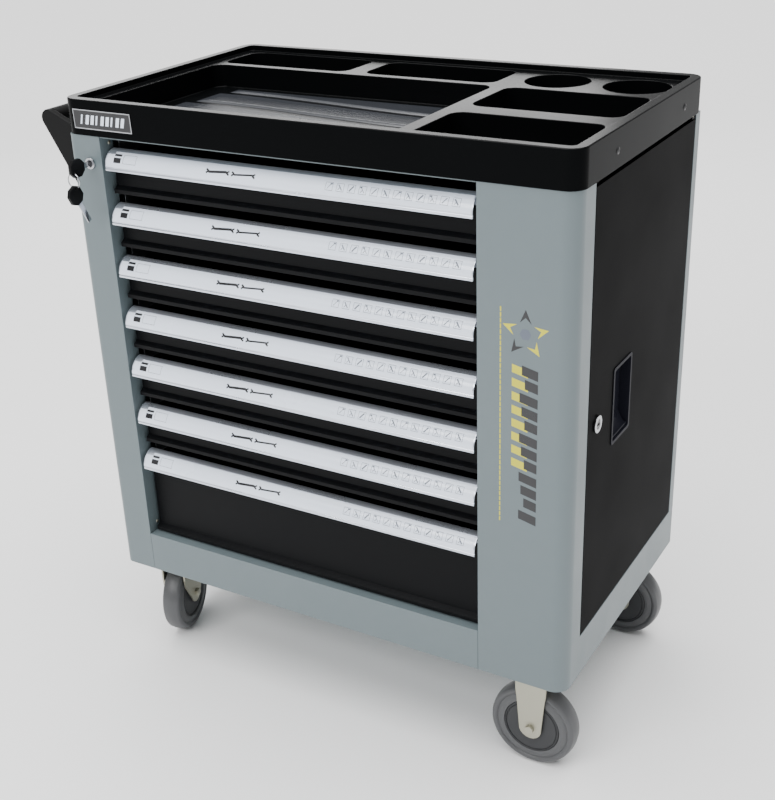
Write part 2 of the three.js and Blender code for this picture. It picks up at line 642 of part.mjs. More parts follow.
function lockBar() {
  const y = Y0 + LOCK.length + 8;
  const t = LOCK_BAR.thick;
  const low = lipHeight(DRAWER.count - 1);
  const high = drawerLockAt.z + 12;
  const barLeft = drawerLockAt.x + 3;
  const barRight = barLeft + LOCK_BAR.width;
  const solids = [
    block(barLeft, barRight, y, y + t, low, high),
    block(drawerLockAt.x - DRAWER_LOCK.crank - 6, barRight, y, y + t,
      drawerLockAt.z - 12, drawerLockAt.z + 12),
  ];
  for (let i = 0; i < DRAWER.count; i += 1) {
    const z = lipHeight(i) + LOCK_BAR.tabRise;
    solids.push(block(barRight - 1, BOX_LEFT - GAP * 6, y, y + t, z, z + LOCK_BAR.tab));
  }
  const half = 2 + LOCK_BAR.slotClear;
  const slot = block(drawerLockAt.x - DRAWER_LOCK.crank - 2 - 1, drawerLockAt.x + 3, y - 1, y + t + 1,
    drawerLockAt.z - half, drawerLockAt.z + half);
  return cut(join(...solids), slot);
}

// ---------------------------------------------------------------- push handle
const handleAt = { x: X0 - HANDLE.reach, z: TRAY_BOTTOM + HANDLE.rise };

function handleBracket(y0) {
  const wallFace = X0 - GAP;
  const topZ = TRAY_BOTTOM - 2.5;
  const lowZ = topZ - HANDLE.base;
  const tangentFrom = (px, pz, sign) => {
    const dx = px - handleAt.x;
    const dz = pz - handleAt.z;
    const toPoint = Math.atan2(dz, dx);
    const spread = Math.acos(HANDLE.nose / Math.hypot(dx, dz));
    return (toPoint + sign * spread) / RAD;
  };
  const upper = tangentFrom(wallFace, topZ, 1);
  const lower = tangentFrom(wallFace, lowZ, -1);
  const outline = polygon([
    [wallFace, lowZ],
    [wallFace, topZ],
    ...arc(handleAt.x, handleAt.z, HANDLE.nose, upper, lower + 360, 14),
  ]);
  return prismY(outline, y0, y0 + HANDLE.plate);
}

function handleGrip() {
  const y0 = Y0 + HANDLE.inset + HANDLE.plate + GAP;
  const length = -2 * y0;
  const tube = rod('y', [handleAt.x, y0, handleAt.z], length, HANDLE.tube, 24);
  const bore = rod('y', [handleAt.x, y0 - 1, handleAt.z], length + 2, HANDLE.tube - HANDLE.wall, 24);
  return cut(tube, bore);
}

// ---------------------------------------------------------------- casters
// A wheel with its axle along local X and its centre at the origin.
function wheel() {
  const half = CASTER.tread / 2;
  const round = 5;
  const profile = [
    [CASTER.axle + CASTER.axleClear, -CASTER.boss / 2],
    [14, -CASTER.boss / 2],
    [14, -half + 3],
    [CASTER.hub, -half + 3],
    [CASTER.hub + 1.5, -half],
    [CASTER.wheel - round, -half],
    [CASTER.wheel, -half + round],
  ];
  const mirrored = profile.map(([r, x]) => [r, -x]).reverse();
  const points = [...profile, ...mirrored, profile[0]].map(([r, x]) => new THREE.Vector2(r, x));
  const geometry = new THREE.LatheGeometry(points, 30);
  geometry.rotateZ(-Math.PI / 2);
  return toSolid(geometry);
}

function axle() {
  const reach = CASTER.legGap / 2 + CASTER.leg;
  const shaft = rod('x', [-reach - 2, 0, 0], 2 * reach + 4, CASTER.axle, 16);
  const head = rod('x', [reach + GAP, 0, 0], 5, 6.5, 6);
  const nut = rod('x', [-reach - GAP - 6, 0, 0], 6, 6.5, 6);
  return join(shaft, head, nut);
}

// One leg outline (y, z) from the crown down to the axle, holding the brake's rod where asked.
function legOutline(topZ, topFrom, topTo, axleY, foot) {
  const w = CASTER.wheel;
  return polygon([
    [topFrom, topZ],
    [topFrom + 0.5, topZ - CASTER.legStraight],
    [topFrom + 2.5, topZ - CASTER.legStraight - 14],
    ...arc(axleY, w, foot, 195, 345, 8),
    [topTo - 2.5, topZ - CASTER.legStraight - 14],
    [topTo - 0.5, topZ - CASTER.legStraight],
    [topTo, topZ],
  ]);
}

function axleHole(y) {
  return rod('x', [-40, y, CASTER.wheel], 80, CASTER.axle + CASTER.axleClear, 16);
}

function mountPlate(long, wide) {
  const z1 = BASE;
  return prismZ(roundedRect(-long / 2, long / 2, -wide / 2, wide / 2, 6), z1 - CASTER.plate, z1, 3);
}

// Fixed caster with its axle along local X; the wheel rolls along local Y.
function rigidBracket() {
  const inner = CASTER.legGap / 2;
  const top = BASE - CASTER.plate / 2;
  const half = CASTER.legWidth / 2;
  const legs = [-1, 1].map((side) => {
    const x = side < 0 ? -inner - CASTER.leg : inner;
    return prismX(legOutline(top, -half, half, 0, CASTER.legFoot), x, x + CASTER.leg);
  });
  return cut(join(mountPlate(CASTER.plateWide + 4, CASTER.plateLong), ...legs), axleHole(0));
}

function swivelPlate() {
  const cup = rod('z', [0, 0, BASE - CASTER.plate - 3], 3.5, 27, 28);
  return join(mountPlate(CASTER.plateLong, CASTER.plateWide), cup);
}

const crownTop = BASE - CASTER.plate - 3 - GAP - 13;

// Swivel fork turning about local Z at the origin; the wheel trails towards local +Y.
function swivelFork() {
  const inner = CASTER.legGap / 2;
  const outer = inner + CASTER.leg;
  const back = CASTER.trail + BRAKE.pivotBack + 5;
  const crown = block(-outer, outer, CASTER.forkFront, CASTER.trail + 4, crownTop - CASTER.leg, crownTop);
  const race = rod('z', [0, 0, crownTop - 1], 14, 24, 28);
  const legs = [-1, 1].map((side) => {
    const x = side < 0 ? -outer : inner;
    return prismX(legOutline(crownTop, CASTER.forkFront, back, CASTER.trail, CASTER.legFoot), x, x + CASTER.leg);
  });
  const rodHole = rod('x', [-40, CASTER.trail + BRAKE.pivotBack, CASTER.wheel + BRAKE.pivotUp - 4],
    80, BRAKE.rod + GAP, 14);
  return cut(join(crown, race, ...legs), axleHole(CASTER.trail), rodHole);
}

// Brake pedal on its cross rod, with the rod's centre at the origin; the pad reaches local +Y.
function brakePedal() {
  const half = BRAKE.width / 2;
  const span = CASTER.legGap / 2 + CASTER.leg + 1.5;
  const cross = rod('x', [-span, 0, 0], 2 * span, BRAKE.rod, 14);
  const path = [
    [-6, 3],
    [4, 4],
    [24, 0],
    [BRAKE.reach - 8, -6],
    [BRAKE.reach, -12],
  ];
  const pad = prismX(bentSheet(path, BRAKE.thick), -half, half);
  const shoe = block(-half + 4, half - 4, -7, 2, -2.5, 4);
  return join(cross, pad, shoe);
}

// ---------------------------------------------------------------- assembly
addPiece(chest, 'left_side_shell', leftSideShell(), GREY_PAINT);
addPiece(chest, 'right_side_shell', rightSideShell(), GREY_PAINT);
addPiece(chest, 'front_bottom_rail', frontBottomRail(), GREY_PAINT);
addPiece(chest, 'door_jamb_frame', doorJambFrame(), BLACK_PAINT);
addPiece(chest, 'back_panel', backPanel(), GREY_PAINT);
addPiece(chest, 'base_pan', basePan(), GREY_PAINT);
addPiece(chest, 'top_deck', topDeck(), GREY_PAINT);
addPiece(chest, 'locker_divider', lockerDivider(), GREY_PAINT);
['locker_shelf_lower', 'locker_shelf_upper'].slice(0, SHELVES.count).forEach((name, i) => {
  addPiece(chest, name, lockerShelf(i), BLACK_PAINT);
});
addPiece(chest, 'top_tray', topTray(), BLACK_PLASTIC);
addPiece(chest, 'name_plate', namePlate(), ALUMINIUM);
addPiece(chest, 'slide_rack_left', slideRack(-1), STEEL);
addPiece(chest, 'slide_rack_right', slideRack(1), STEEL);

for (let i = 0; i < DRAWER.count; i += 1) {
  addPiece(chest, `drawer_${i + 1}_box`, drawerBox(i), BLACK_PAINT);
  addPiece(chest, `drawer_${i + 1}_pull`, drawerPull(i), ALUMINIUM);
}

addPiece(chest, 'push_handle_bracket_front', handleBracket(Y0 + HANDLE.inset), BLACK_PLASTIC);
addPiece(chest, 'push_handle_bracket_rear', handleBracket(-Y0 - HANDLE.inset - HANDLE.plate), BLACK_PLASTIC);
addPiece(chest, 'push_handle_grip', handleGrip(), BLACK_PLASTIC);

// The drawer lock stands in the left column with its local +Z towards the front.
const drawerLock = new THREE.Group();
drawerLock.position.set(drawerLockAt.x, Y0, drawerLockAt.z);
drawerLock.rotation.x = Math.PI / 2;
chest.add(drawerLock);
addPiece(drawerLock, 'drawer_lock_barrel', lockBarrel(DRAWER_CAM_LOCK), CHROME);
addPiece(drawerLock, 'drawer_lock_plug', drawerLockPlug(), CHROME);
const keyHole = [KEY.headLength - 5, -KEY.headHeight / 2 + 6.5];
const bladeInside = KEY.blade - 3;
const lockKey = addPiece(drawerLock, 'drawer_lock_key', key(bladeInside, keyHole), BLACK_PLASTIC);
lockKey.position.z = LOCK.proud;
addPiece(chest, 'lock_bar', lockBar(), ZINC);

// The ring hangs from the hole in the key's head, and the spare key hangs from the ring.
const holeY = Y0 - LOCK.proud - KEY.neck - keyHole[0];
const holeZ = drawerLockAt.z + keyHole[1];
const ringCentre = new THREE.Vector3(drawerLockAt.x, holeY, holeZ - KEY.ring);
const ringGeometry = new THREE.TorusGeometry(KEY.ring, KEY.wire, 5, 16);
ringGeometry.rotateX(Math.PI / 2);
const keyRing = addPiece(chest, 'key_ring', toSolid(ringGeometry), STEEL);
keyRing.position.copy(ringCentre);
const spareHole = [keyHole[0], -keyHole[1]];
const spareKey = addPiece(chest, 'spare_key', key(KEY.blade, spareHole), BLACK_PLASTIC);
const spareTurn = new THREE.Group();
spareTurn.position.set(ringCentre.x, ringCentre.y, ringCentre.z - KEY.ring);
spareTurn.rotation.x = THREE.MathUtils.degToRad(KEY.rest);
spareKey.position.set(0, -spareHole[1], -KEY.neck - spareHole[0]);
spareTurn.add(spareKey);
chest.add(spareTurn);

addPiece(chest, 'side_door', sideDoor(), BLACK_PAINT);
addPiece(chest, 'door_handle_cup', doorHandleCup(), BLACK_PLASTIC);
addPiece(chest, 'door_hinge_pin_upper', doorHingePin(true), ZINC);
addPiece(chest, 'door_hinge_pin_lower', doorHingePin(false), ZINC);

// The door lock faces +X; its cam points to the front column when it is locked.
const doorLock = new THREE.Group();
doorLock.position.set(X1, doorLockAt.y, doorLockAt.z);
doorLock.rotation.set(0, Math.PI / 2, 0);
chest.add(doorLock);
addPiece(doorLock, 'door_lock_barrel', lockBarrel(DOOR_CAM_LOCK), CHROME);
const camReach = DOOR_LOCK.fromFront + 6;
const camDepth = -LOCK.length - 2;
const cam = block(-7, camReach, -7, 7, camDepth - 2, camDepth + 0.5);
addPiece(doorLock, 'door_lock_plug', lockPlug(DOOR_CAM_LOCK, cam), CHROME);

// Fixed casters on the locker side: the axle lies along Y.
for (const [label, side] of [['front', -1], ['rear', 1]]) {
  const caster = new THREE.Group();
  caster.position.set(X1 - CASTER.fromSide, side * (BODY.depth / 2 - CASTER.fromFront), 0);
  caster.rotation.z = -Math.PI / 2;
  chest.add(caster);
  addPiece(caster, `caster_right_${label}_bracket`, rigidBracket(), ZINC);
  const wheelMesh = addPiece(caster, `caster_right_${label}_wheel`, wheel(), TYRE);
  wheelMesh.position.z = CASTER.wheel;
  const axleMesh = addPiece(caster, `caster_right_${label}_axle`, axle(), ZINC);
  axleMesh.position.z = CASTER.wheel;
}

// Swivel casters with brakes on the handle side.
for (const [label, side] of [['front', -1], ['rear', 1]]) {
  const caster = new THREE.Group();
  caster.position.set(X0 + CASTER.swivelFromSide, side * (BODY.depth / 2 - CASTER.swivelFromFront), 0);
  chest.add(caster);
  addPiece(caster, `caster_left_${label}_plate`, swivelPlate(), ZINC);
  const turning = new THREE.Group();
  turning.rotation.z = CASTER_TURN[label] * RAD;
  caster.add(turning);
  addPiece(turning, `caster_left_${label}_fork`, swivelFork(), ZINC);
  const wheelMesh = addPiece(turning, `caster_left_${label}_wheel`, wheel(), TYRE);
  wheelMesh.position.set(0, CASTER.trail, CASTER.wheel);
  const axleMesh = addPiece(turning, `caster_left_${label}_axle`, axle(), ZINC);
  axleMesh.position.set(0, CASTER.trail, CASTER.wheel);
  const pedal = addPiece(turning, `caster_left_${label}_brake`, brakePedal(), BLACK_PLASTIC);
  pedal.position.set(0, CASTER.trail + BRAKE.pivotBack, CASTER.wheel + BRAKE.pivotUp - 4);
}

// The origin goes to the centre of the footprint, on the floor.
const extent = new THREE.Box3().setFromObject(chest);
const centre = extent.getCenter(new THREE.Vector3());
chest.position.set(-centre.x, -centre.y, -extent.min.z);

export default chest;
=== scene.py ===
"""Looks for a rolling tool chest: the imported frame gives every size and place, and each operator
below dresses one group of pieces."""

import json
import math

import bmesh
import bpy
from mathutils import Matrix, Vector


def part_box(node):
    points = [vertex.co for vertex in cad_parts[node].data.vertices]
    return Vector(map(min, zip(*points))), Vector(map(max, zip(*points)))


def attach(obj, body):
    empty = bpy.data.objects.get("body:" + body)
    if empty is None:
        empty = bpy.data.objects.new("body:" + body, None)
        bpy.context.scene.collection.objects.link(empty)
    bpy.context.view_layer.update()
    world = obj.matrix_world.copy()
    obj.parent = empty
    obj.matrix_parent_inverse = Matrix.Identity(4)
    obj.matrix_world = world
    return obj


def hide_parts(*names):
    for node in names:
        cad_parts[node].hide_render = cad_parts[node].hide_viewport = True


bl_info = {
    "name": "Rolling Tool Chest",
    "version": (1, 0, 0),
    "blender": (4, 5, 0),
    "location": "View3D > Sidebar > Tool Chest",
    "description": "Builds the detailed pieces, finishes and stage of a rolling tool chest",
    "category": "Object",
}

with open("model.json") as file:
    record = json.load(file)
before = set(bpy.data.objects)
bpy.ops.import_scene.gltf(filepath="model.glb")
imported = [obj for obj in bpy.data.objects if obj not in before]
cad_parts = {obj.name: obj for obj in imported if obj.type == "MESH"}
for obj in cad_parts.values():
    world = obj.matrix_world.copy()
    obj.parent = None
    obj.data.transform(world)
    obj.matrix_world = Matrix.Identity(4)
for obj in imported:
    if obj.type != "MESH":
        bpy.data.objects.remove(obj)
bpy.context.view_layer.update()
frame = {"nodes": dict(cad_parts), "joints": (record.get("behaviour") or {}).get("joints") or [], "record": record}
DRAWERS = 7

# The cabinet's own centre and size, from the frame.
PAN_LOW, PAN_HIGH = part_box("base_pan")
CENTRE = Vector(((PAN_LOW[0] + PAN_HIGH[0]) / 2, (PAN_LOW[1] + PAN_HIGH[1]) / 2, 0))
DECK_LOW, DECK_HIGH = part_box("top_deck")
TRAY_LOW, TRAY_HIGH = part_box("top_tray")
BODY_FRONT = DECK_LOW[1]
BODY_LEFT = DECK_LOW[0]
BODY_RIGHT = DECK_HIGH[0]
BODY_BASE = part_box("left_side_shell")[0][2]


def linear(hex_colour):
    """Scene-linear RGBA of an sRGB colour such as 0x8f9899."""
    out = []
    for shift in (16, 8, 0):
        c = ((hex_colour >> shift) & 255) / 255
        out.append(c / 12.92 if c <= 0.04045 else ((c + 0.055) / 1.055) ** 2.4)
    return (*out, 1.0)


# ---------------------------------------------------------------- settings

def colour_prop(name, description, value):
    return bpy.props.FloatVectorProperty(
        name=name, description=description, subtype="COLOR", size=4, min=0, max=1, default=linear(value))


def length_prop(name, description, value):
    return bpy.props.FloatProperty(
        name=name, description=description, subtype="DISTANCE", unit="LENGTH", min=0, default=value)


class ChestFinishes(bpy.types.PropertyGroup):
    """Colours of the chest's finishes."""

    cabinet: colour_prop("Cabinet", "Grey powder coat of the cabinet", 0x5E6B6F)
    front: colour_prop("Drawer black", "Black paint of the drawer fronts and the door", 0x090A0C)
    tray: colour_prop("Tray", "Gloss black moulded tray", 0x08090A)
    handle: colour_prop("Handle", "Black plastic of the push handle and keys", 0x0A0A0B)
    pull: colour_prop("Pulls", "Anodised drawer pulls", 0xDDE3EE)
    label: colour_prop("Labels", "White label strips on the pulls", 0xE8F1FF)
    print_grey: colour_prop("Pale print", "Pale print on the labels", 0x59616F)
    yellow: colour_prop("Stripe yellow", "Yellow of the stripes on the right column", 0xC9C21E)
    tyre: colour_prop("Tyre", "Grey rubber of the wheels", 0x4C4D4F)
    hub: colour_prop("Hub", "Dark plastic of the wheel hubs", 0x333436)
    zinc: colour_prop("Zinc", "Zinc plate of the casters and small hardware", 0xA9A797)
    steel: colour_prop("Slides", "Steel of the drawer slides", 0x9A9EA2)


class ChestSizes(bpy.types.PropertyGroup):
    """Sizes of the details that the frame leaves open."""

    sheet_edge: length_prop("Sheet edge", "Rounding of folded sheet edges", 0.0005)
    rim_edge: length_prop("Rim edge", "Rounding of the tray's outer rim", 0.0045)
    pocket_edge: length_prop("Pocket edge", "Rounding of the tray's pockets", 0.0026)
    pull_sweep: length_prop("Pull radius", "Radius of the drawer pulls' front", 0.022)
    screw: length_prop("Screw head", "Radius of the tray's screw heads", 0.0046)
    rivet: length_prop("Rivet head", "Radius of the rivet heads", 0.0028)
    icon: length_prop("Icon", "Width of one printed icon", 0.0105)


# ---------------------------------------------------------------- shader groups

def socket(group, name, kind, in_out, default=None):
    made = group.interface.new_socket(name=name, in_out=in_out, socket_type=kind)
    if default is not None:
        made.default_value = default
    return made


def link(tree, a, b):
    tree.links.new(a, b)


def grain_group():
    """Fine surface grain: a height for a Bump node and a mask for roughness."""
    name = "Fine Grain"
    if name in bpy.data.node_groups:
        return bpy.data.node_groups[name]
    group = bpy.data.node_groups.new(name, "ShaderNodeTree")
    socket(group, "Scale", "NodeSocketFloat", "INPUT", 600.0)
    socket(group, "Stretch", "NodeSocketVector", "INPUT", (1, 1, 1))
    socket(group, "Height", "NodeSocketFloat", "OUTPUT")
    socket(group, "Mask", "NodeSocketFloat", "OUTPUT")
    n = group.nodes
    entry, out = n.new("NodeGroupInput"), n.new("NodeGroupOutput")
    place = n.new("ShaderNodeTexCoord")
    stretch = n.new("ShaderNodeVectorMath")
    stretch.operation = "MULTIPLY"
    fine, broad = n.new("ShaderNodeTexNoise"), n.new("ShaderNodeTexNoise")
    fine.inputs["Detail"].default_value = 3
    broad.inputs["Scale"].default_value = 7
    broad.inputs["Detail"].default_value = 4
    link(group, place.outputs["Object"], stretch.inputs[0])
    link(group, entry.outputs["Stretch"], stretch.inputs[1])
    link(group, stretch.outputs[0], fine.inputs["Vector"])
    link(group, entry.outputs["Scale"], fine.inputs["Scale"])
    link(group, place.outputs["Object"], broad.inputs["Vector"])
    link(group, fine.outputs["Fac"], out.inputs["Height"])
    link(group, broad.outputs["Fac"], out.inputs["Mask"])
    return group


def dust_group():
    """Light dust: more of it on faces that look up, broken up by noise."""
    name = "Light Dust"
    if name in bpy.data.node_groups:
        return bpy.data.node_groups[name]
    group = bpy.data.node_groups.new(name, "ShaderNodeTree")
    socket(group, "Amount", "NodeSocketFloat", "INPUT", 0.1)
    socket(group, "Mask", "NodeSocketFloat", "OUTPUT")
    n = group.nodes
    entry, out = n.new("NodeGroupInput"), n.new("NodeGroupOutput")
    geometry, split = n.new("ShaderNodeNewGeometry"), n.new("ShaderNodeSeparateXYZ")
    up, noise, place = n.new("ShaderNodeMapRange"), n.new("ShaderNodeTexNoise"), n.new("ShaderNodeTexCoord")
    up.inputs["From Min"].default_value = -0.2
    noise.inputs["Scale"].default_value = 22
    noise.inputs["Detail"].default_value = 8
    broken, scaled = n.new("ShaderNodeMath"), n.new("ShaderNodeMath")
    broken.operation = scaled.operation = "MULTIPLY"
    link(group, geometry.outputs["Normal"], split.inputs[0])
    link(group, split.outputs["Z"], up.inputs["Value"])
    link(group, place.outputs["Object"], noise.inputs["Vector"])
    link(group, up.outputs["Result"], broken.inputs[0])
    link(group, noise.outputs["Fac"], broken.inputs[1])
    link(group, broken.outputs[0], scaled.inputs[0])
    link(group, entry.outputs["Amount"], scaled.inputs[1])
    link(group, scaled.outputs[0], out.inputs["Mask"])
    return group


def wear_group():
    """Edge wear: convex edges come out lighter, in broken patches."""
    name = "Edge Wear"
    if name in bpy.data.node_groups:
        return bpy.data.node_groups[name]
    group = bpy.data.node_groups.new(name, "ShaderNodeTree")
    socket(group, "Amount", "NodeSocketFloat", "INPUT", 0.2)
    socket(group, "Mask", "NodeSocketFloat", "OUTPUT")
    n = group.nodes
    entry, out = n.new("NodeGroupInput"), n.new("NodeGroupOutput")
    geometry, edge = n.new("ShaderNodeNewGeometry"), n.new("ShaderNodeMapRange")
    edge.inputs["From Min"].default_value = 0.53
    edge.inputs["From Max"].default_value = 0.62
    noise, place, times, scaled = (n.new("ShaderNodeTexNoise"), n.new("ShaderNodeTexCoord"),
                                   n.new("ShaderNodeMath"), n.new("ShaderNodeMath"))
    noise.inputs["Scale"].default_value = 60
    noise.inputs["Detail"].default_value = 6
    times.operation = scaled.operation = "MULTIPLY"
    link(group, geometry.outputs["Pointiness"], edge.inputs["Value"])
    link(group, place.outputs["Object"], noise.inputs["Vector"])
    link(group, edge.outputs["Result"], times.inputs[0])
    link(group, noise.outputs["Fac"], times.inputs[1])
    link(group, times.outputs[0], scaled.inputs[0])
    link(group, entry.outputs["Amount"], scaled.inputs[1])
    link(group, scaled.outputs[0], out.inputs["Mask"])
    return group


def finish_material(name, colour, rough=0.4, metal=0.0, coat=0.0, coat_rough=0.1, grain=600, bump=0.05,
                    stretch=(1, 1, 1), vary=0.06, rough_vary=0.08, dust=0.05, wear=0.1, specular=0.5,
                    top_specular=None):
    """A finish with grain, broad colour variation, dust on upward faces and worn edges, and, when asked, a higher
    specular level on upward faces than on the sides: a painted sheen on the tops.
    """
    if name in bpy.data.materials:
        return bpy.data.materials[name]
    material = bpy.data.materials.new(name)
    material.use_nodes = True
    tree = material.node_tree
    n = tree.nodes
    shader = n["Principled BSDF"]
    shader.inputs["Coat Roughness"].default_value = coat_rough
    shader.inputs["Coat Weight"].default_value = coat
    shader.inputs["Metallic"].default_value = metal
    shader.inputs["Specular IOR Level"].default_value = specular

    def group_node(group, **values):
        node = n.new("ShaderNodeGroup")
        node.node_tree = group
        for key, value in values.items():
            node.inputs[key].default_value = value
        return node

    # Upward faces get a higher specular level than the sides of the same finish: a painted sheen on the tops.
    if top_specular is not None:
        facing, part, lift = (n.new("ShaderNodeNewGeometry"), n.new("ShaderNodeSeparateXYZ"),
                              n.new("ShaderNodeMapRange"))
        lift.inputs["From Min"].default_value = 0.2
        lift.inputs["From Max"].default_value = 0.7
        lift.inputs["To Min"].default_value = specular
        lift.inputs["To Max"].default_value = top_specular
        link(tree, facing.outputs["Normal"], part.inputs[0])
        link(tree, part.outputs["Z"], lift.inputs["Value"])
        link(tree, lift.outputs["Result"], shader.inputs["Specular IOR Level"])
    surface = group_node(grain_group(), Scale=grain, Stretch=stretch)
    dirt = group_node(dust_group(), Amount=dust)
    edges = group_node(wear_group(), Amount=wear)
    base = Vector(colour[:3])
    shades = []
    for factor in (1 - vary, 1 + vary):
        shades.append((*(base * factor), 1))
    tone = n.new("ShaderNodeMix")
    tone.data_type = "RGBA"
    tone.inputs[6].default_value, tone.inputs[7].default_value = shades
    link(tree, surface.outputs["Mask"], tone.inputs[0])
    worn = n.new("ShaderNodeMix")
    worn.data_type = "RGBA"
    worn.inputs[7].default_value = (*(base * 0.5 + Vector((0.3, 0.3, 0.3))), 1)
    link(tree, edges.outputs["Mask"], worn.inputs[0])
    link(tree, tone.outputs[2], worn.inputs[6])
    dusty = n.new("ShaderNodeMix")
    dusty.data_type = "RGBA"
    dusty.inputs[7].default_value = (0.42, 0.41, 0.39, 1)
    link(tree, dirt.outputs["Mask"], dusty.inputs[0])
    link(tree, worn.outputs[2], dusty.inputs[6])
    link(tree, dusty.outputs[2], shader.inputs["Base Color"])
    ramp = n.new("ShaderNodeMapRange")
    ramp.inputs["From Min"].default_value = 0.3
    ramp.inputs["From Max"].default_value = 0.7
    ramp.inputs["To Min"].default_value = max(rough - rough_vary, 0.02)
    ramp.inputs["To Max"].default_value = rough + rough_vary
    link(tree, surface.outputs["Mask"], ramp.inputs["Value"])
    link(tree, ramp.outputs["Result"], shader.inputs["Roughness"])
    relief = n.new("ShaderNodeBump")
    relief.inputs["Strength"].default_value = bump
    relief.inputs["Distance"].default_value = 0.0004
    link(tree, surface.outputs["Height"], relief.inputs["Height"])
    link(tree, relief.outputs["Normal"], shader.inputs["Normal"])
    return material


def looks():
    """All finishes by name, made from the colours in the settings."""
    c = bpy.context.scene.chest_finishes
    m = finish_material
    return {
        "cabinet": m("Grey Powder Coat", c.cabinet, rough=0.4, grain=900, bump=0.12, vary=0.03, dust=0.03,
                     wear=0.12, coat=0.1, coat_rough=0.25),
        "front": m("Black Front Paint", c.front, rough=0.4, grain=1400, bump=0.18, vary=0.1, rough_vary=0.03,
                   dust=0, wear=0.03, specular=0.08),
        # The door gets its own copy of the front black, darker and almost without specular: painted shade for the
        # side face, which sits darker than the drawer fronts.
        "door": m("Black Door Paint", (0.0014, 0.0014, 0.0016, 1), rough=0.45, grain=1400, bump=0.12,
                  vary=0.1, rough_vary=0.03, dust=0, wear=0.02, specular=0.01),
        # The tray's tops take a higher specular level than its dark sides: a painted sheen.
        "tray": m("Gloss Tray Plastic", c.tray, rough=0.25, grain=260, bump=0.04, vary=0.1, rough_vary=0.03,
                  dust=0, wear=0.02, specular=0.02, top_specular=0.12),
        "handle": m("Black Handle Plastic", c.handle, rough=0.4, grain=1200, bump=0.15, dust=0, wear=0.04,
                    specular=0.12),
        "cup": m("Finger Cup Plastic", (0.012, 0.0125, 0.018, 1), rough=0.3, grain=1200, bump=0.05, dust=0,
                 wear=0, specular=0.02),
        # The slats are the tray's black plastic made far lighter and bluer, with full specular: a painted sheen
        # for the bright reflection along the ribbed floor.
        "slat": m("Gloss Tray Slats", (0.03, 0.033, 0.04, 1), rough=0.26, grain=260, bump=0.03, vary=0.1,
                  rough_vary=0.02, dust=0, wear=0, specular=1.0),
        "socket": m("Lock Plug", (0.09, 0.09, 0.095, 1), rough=0.28, metal=0.9, vary=0.1, dust=0, wear=0),
        "pull": m("Anodised Pull", c.pull, rough=0.3, metal=0.85, grain=900, bump=0.08, stretch=(0.02, 1, 1),
                  vary=0.02, dust=0, wear=0),
        "label": m("Label Film", c.label, rough=0.24, metal=0.0, grain=300, bump=0.02, vary=0.012, dust=0,
                   wear=0, coat=0.5, coat_rough=0.12),
        "print": m("Pale Print", c.print_grey, rough=0.35, vary=0.05, dust=0, wear=0),
        "ink": m("Black Ink", (0.012, 0.012, 0.014, 1), rough=0.3, vary=0.1, dust=0, wear=0),
        "yellow": m("Yellow Film", c.yellow, rough=0.32, vary=0.04, dust=0, wear=0),
        "tyre": m("Grey Rubber", c.tyre, rough=0.42, grain=500, bump=0.15, vary=0.06, dust=0.03, wear=0.1,
                  specular=0.45),
        "hub": m("Hub Plastic", c.hub, rough=0.5, grain=700, bump=0.1, vary=0.08, dust=0.02, wear=0.03,
                 specular=0.3),
        "zinc": m("Zinc Plate", c.zinc, rough=0.36, metal=0.75, grain=160, bump=0.08, vary=0.09,
                  rough_vary=0.12, dust=0.03),
        "steel": m("Slide Steel", c.steel, rough=0.35, metal=0.9, grain=400, stretch=(1, 0.03, 1), bump=0.1),
        "chrome": m("Bright Plate", (0.42, 0.43, 0.45, 1), rough=0.16, metal=1.0, vary=0.02, rough_vary=0.05,
                    dust=0, wear=0),
    }


# ---------------------------------------------------------------- mesh helpers

def mesh_object(name, bm):
    """A linked object from a bmesh, its faces pointing outwards."""
    bmesh.ops.remove_doubles(bm, verts=bm.verts, dist=1e-6)
    bmesh.ops.recalc_face_normals(bm, faces=bm.faces)
    mesh = bpy.data.meshes.new(name)
    bm.to_mesh(mesh)
    bm.free()
    obj = bpy.data.objects.new(name, mesh)
    bpy.context.scene.collection.objects.link(obj)
    return obj


def bake_modifiers(obj):
    """Turns the evaluated object into its own plain mesh."""
    evaluated = obj.evaluated_get(bpy.context.evaluated_depsgraph_get())
    mesh = bpy.data.meshes.new_from_object(evaluated)
    mesh.name = obj.name
    old = obj.data
    obj.modifiers.clear()
    obj.data = mesh
    bpy.data.meshes.remove(old)


def smooth(obj, angle=35):
    """Smooth shading that keeps edges sharper than the angle crisp."""
    obj.data.polygons.foreach_set("use_smooth", [True] * len(obj.data.polygons))
    obj.data.set_sharp_from_angle(angle=math.radians(angle))


def round_edges(obj, width, segments=2, angle=30, weighted=False):
    """Rounds the object's sharp edges and bakes the result."""
    bevel = obj.modifiers.new("Round", "BEVEL")
    bevel.width = width
    bevel.segments = segments
    bevel.limit_method = "WEIGHT" if weighted else "ANGLE"
    bevel.angle_limit = math.radians(angle)
    bevel.miter_outer = "MITER_ARC"
    bevel.use_clamp_overlap = True
    bake_modifiers(obj)
    smooth(obj)
    weigh = obj.modifiers.new("Normals", "WEIGHTED_NORMAL")
    weigh.keep_sharp = True
    bake_modifiers(obj)


def place(obj, material, body, slot, *nodes):
    """Gives a piece its finish and the body it rides on, and hides the frame nodes it stands for."""
    obj.data.materials.clear()
    obj.data.materials.append(material)
    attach(obj, body)
    if nodes:
        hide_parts(*nodes)
    return obj


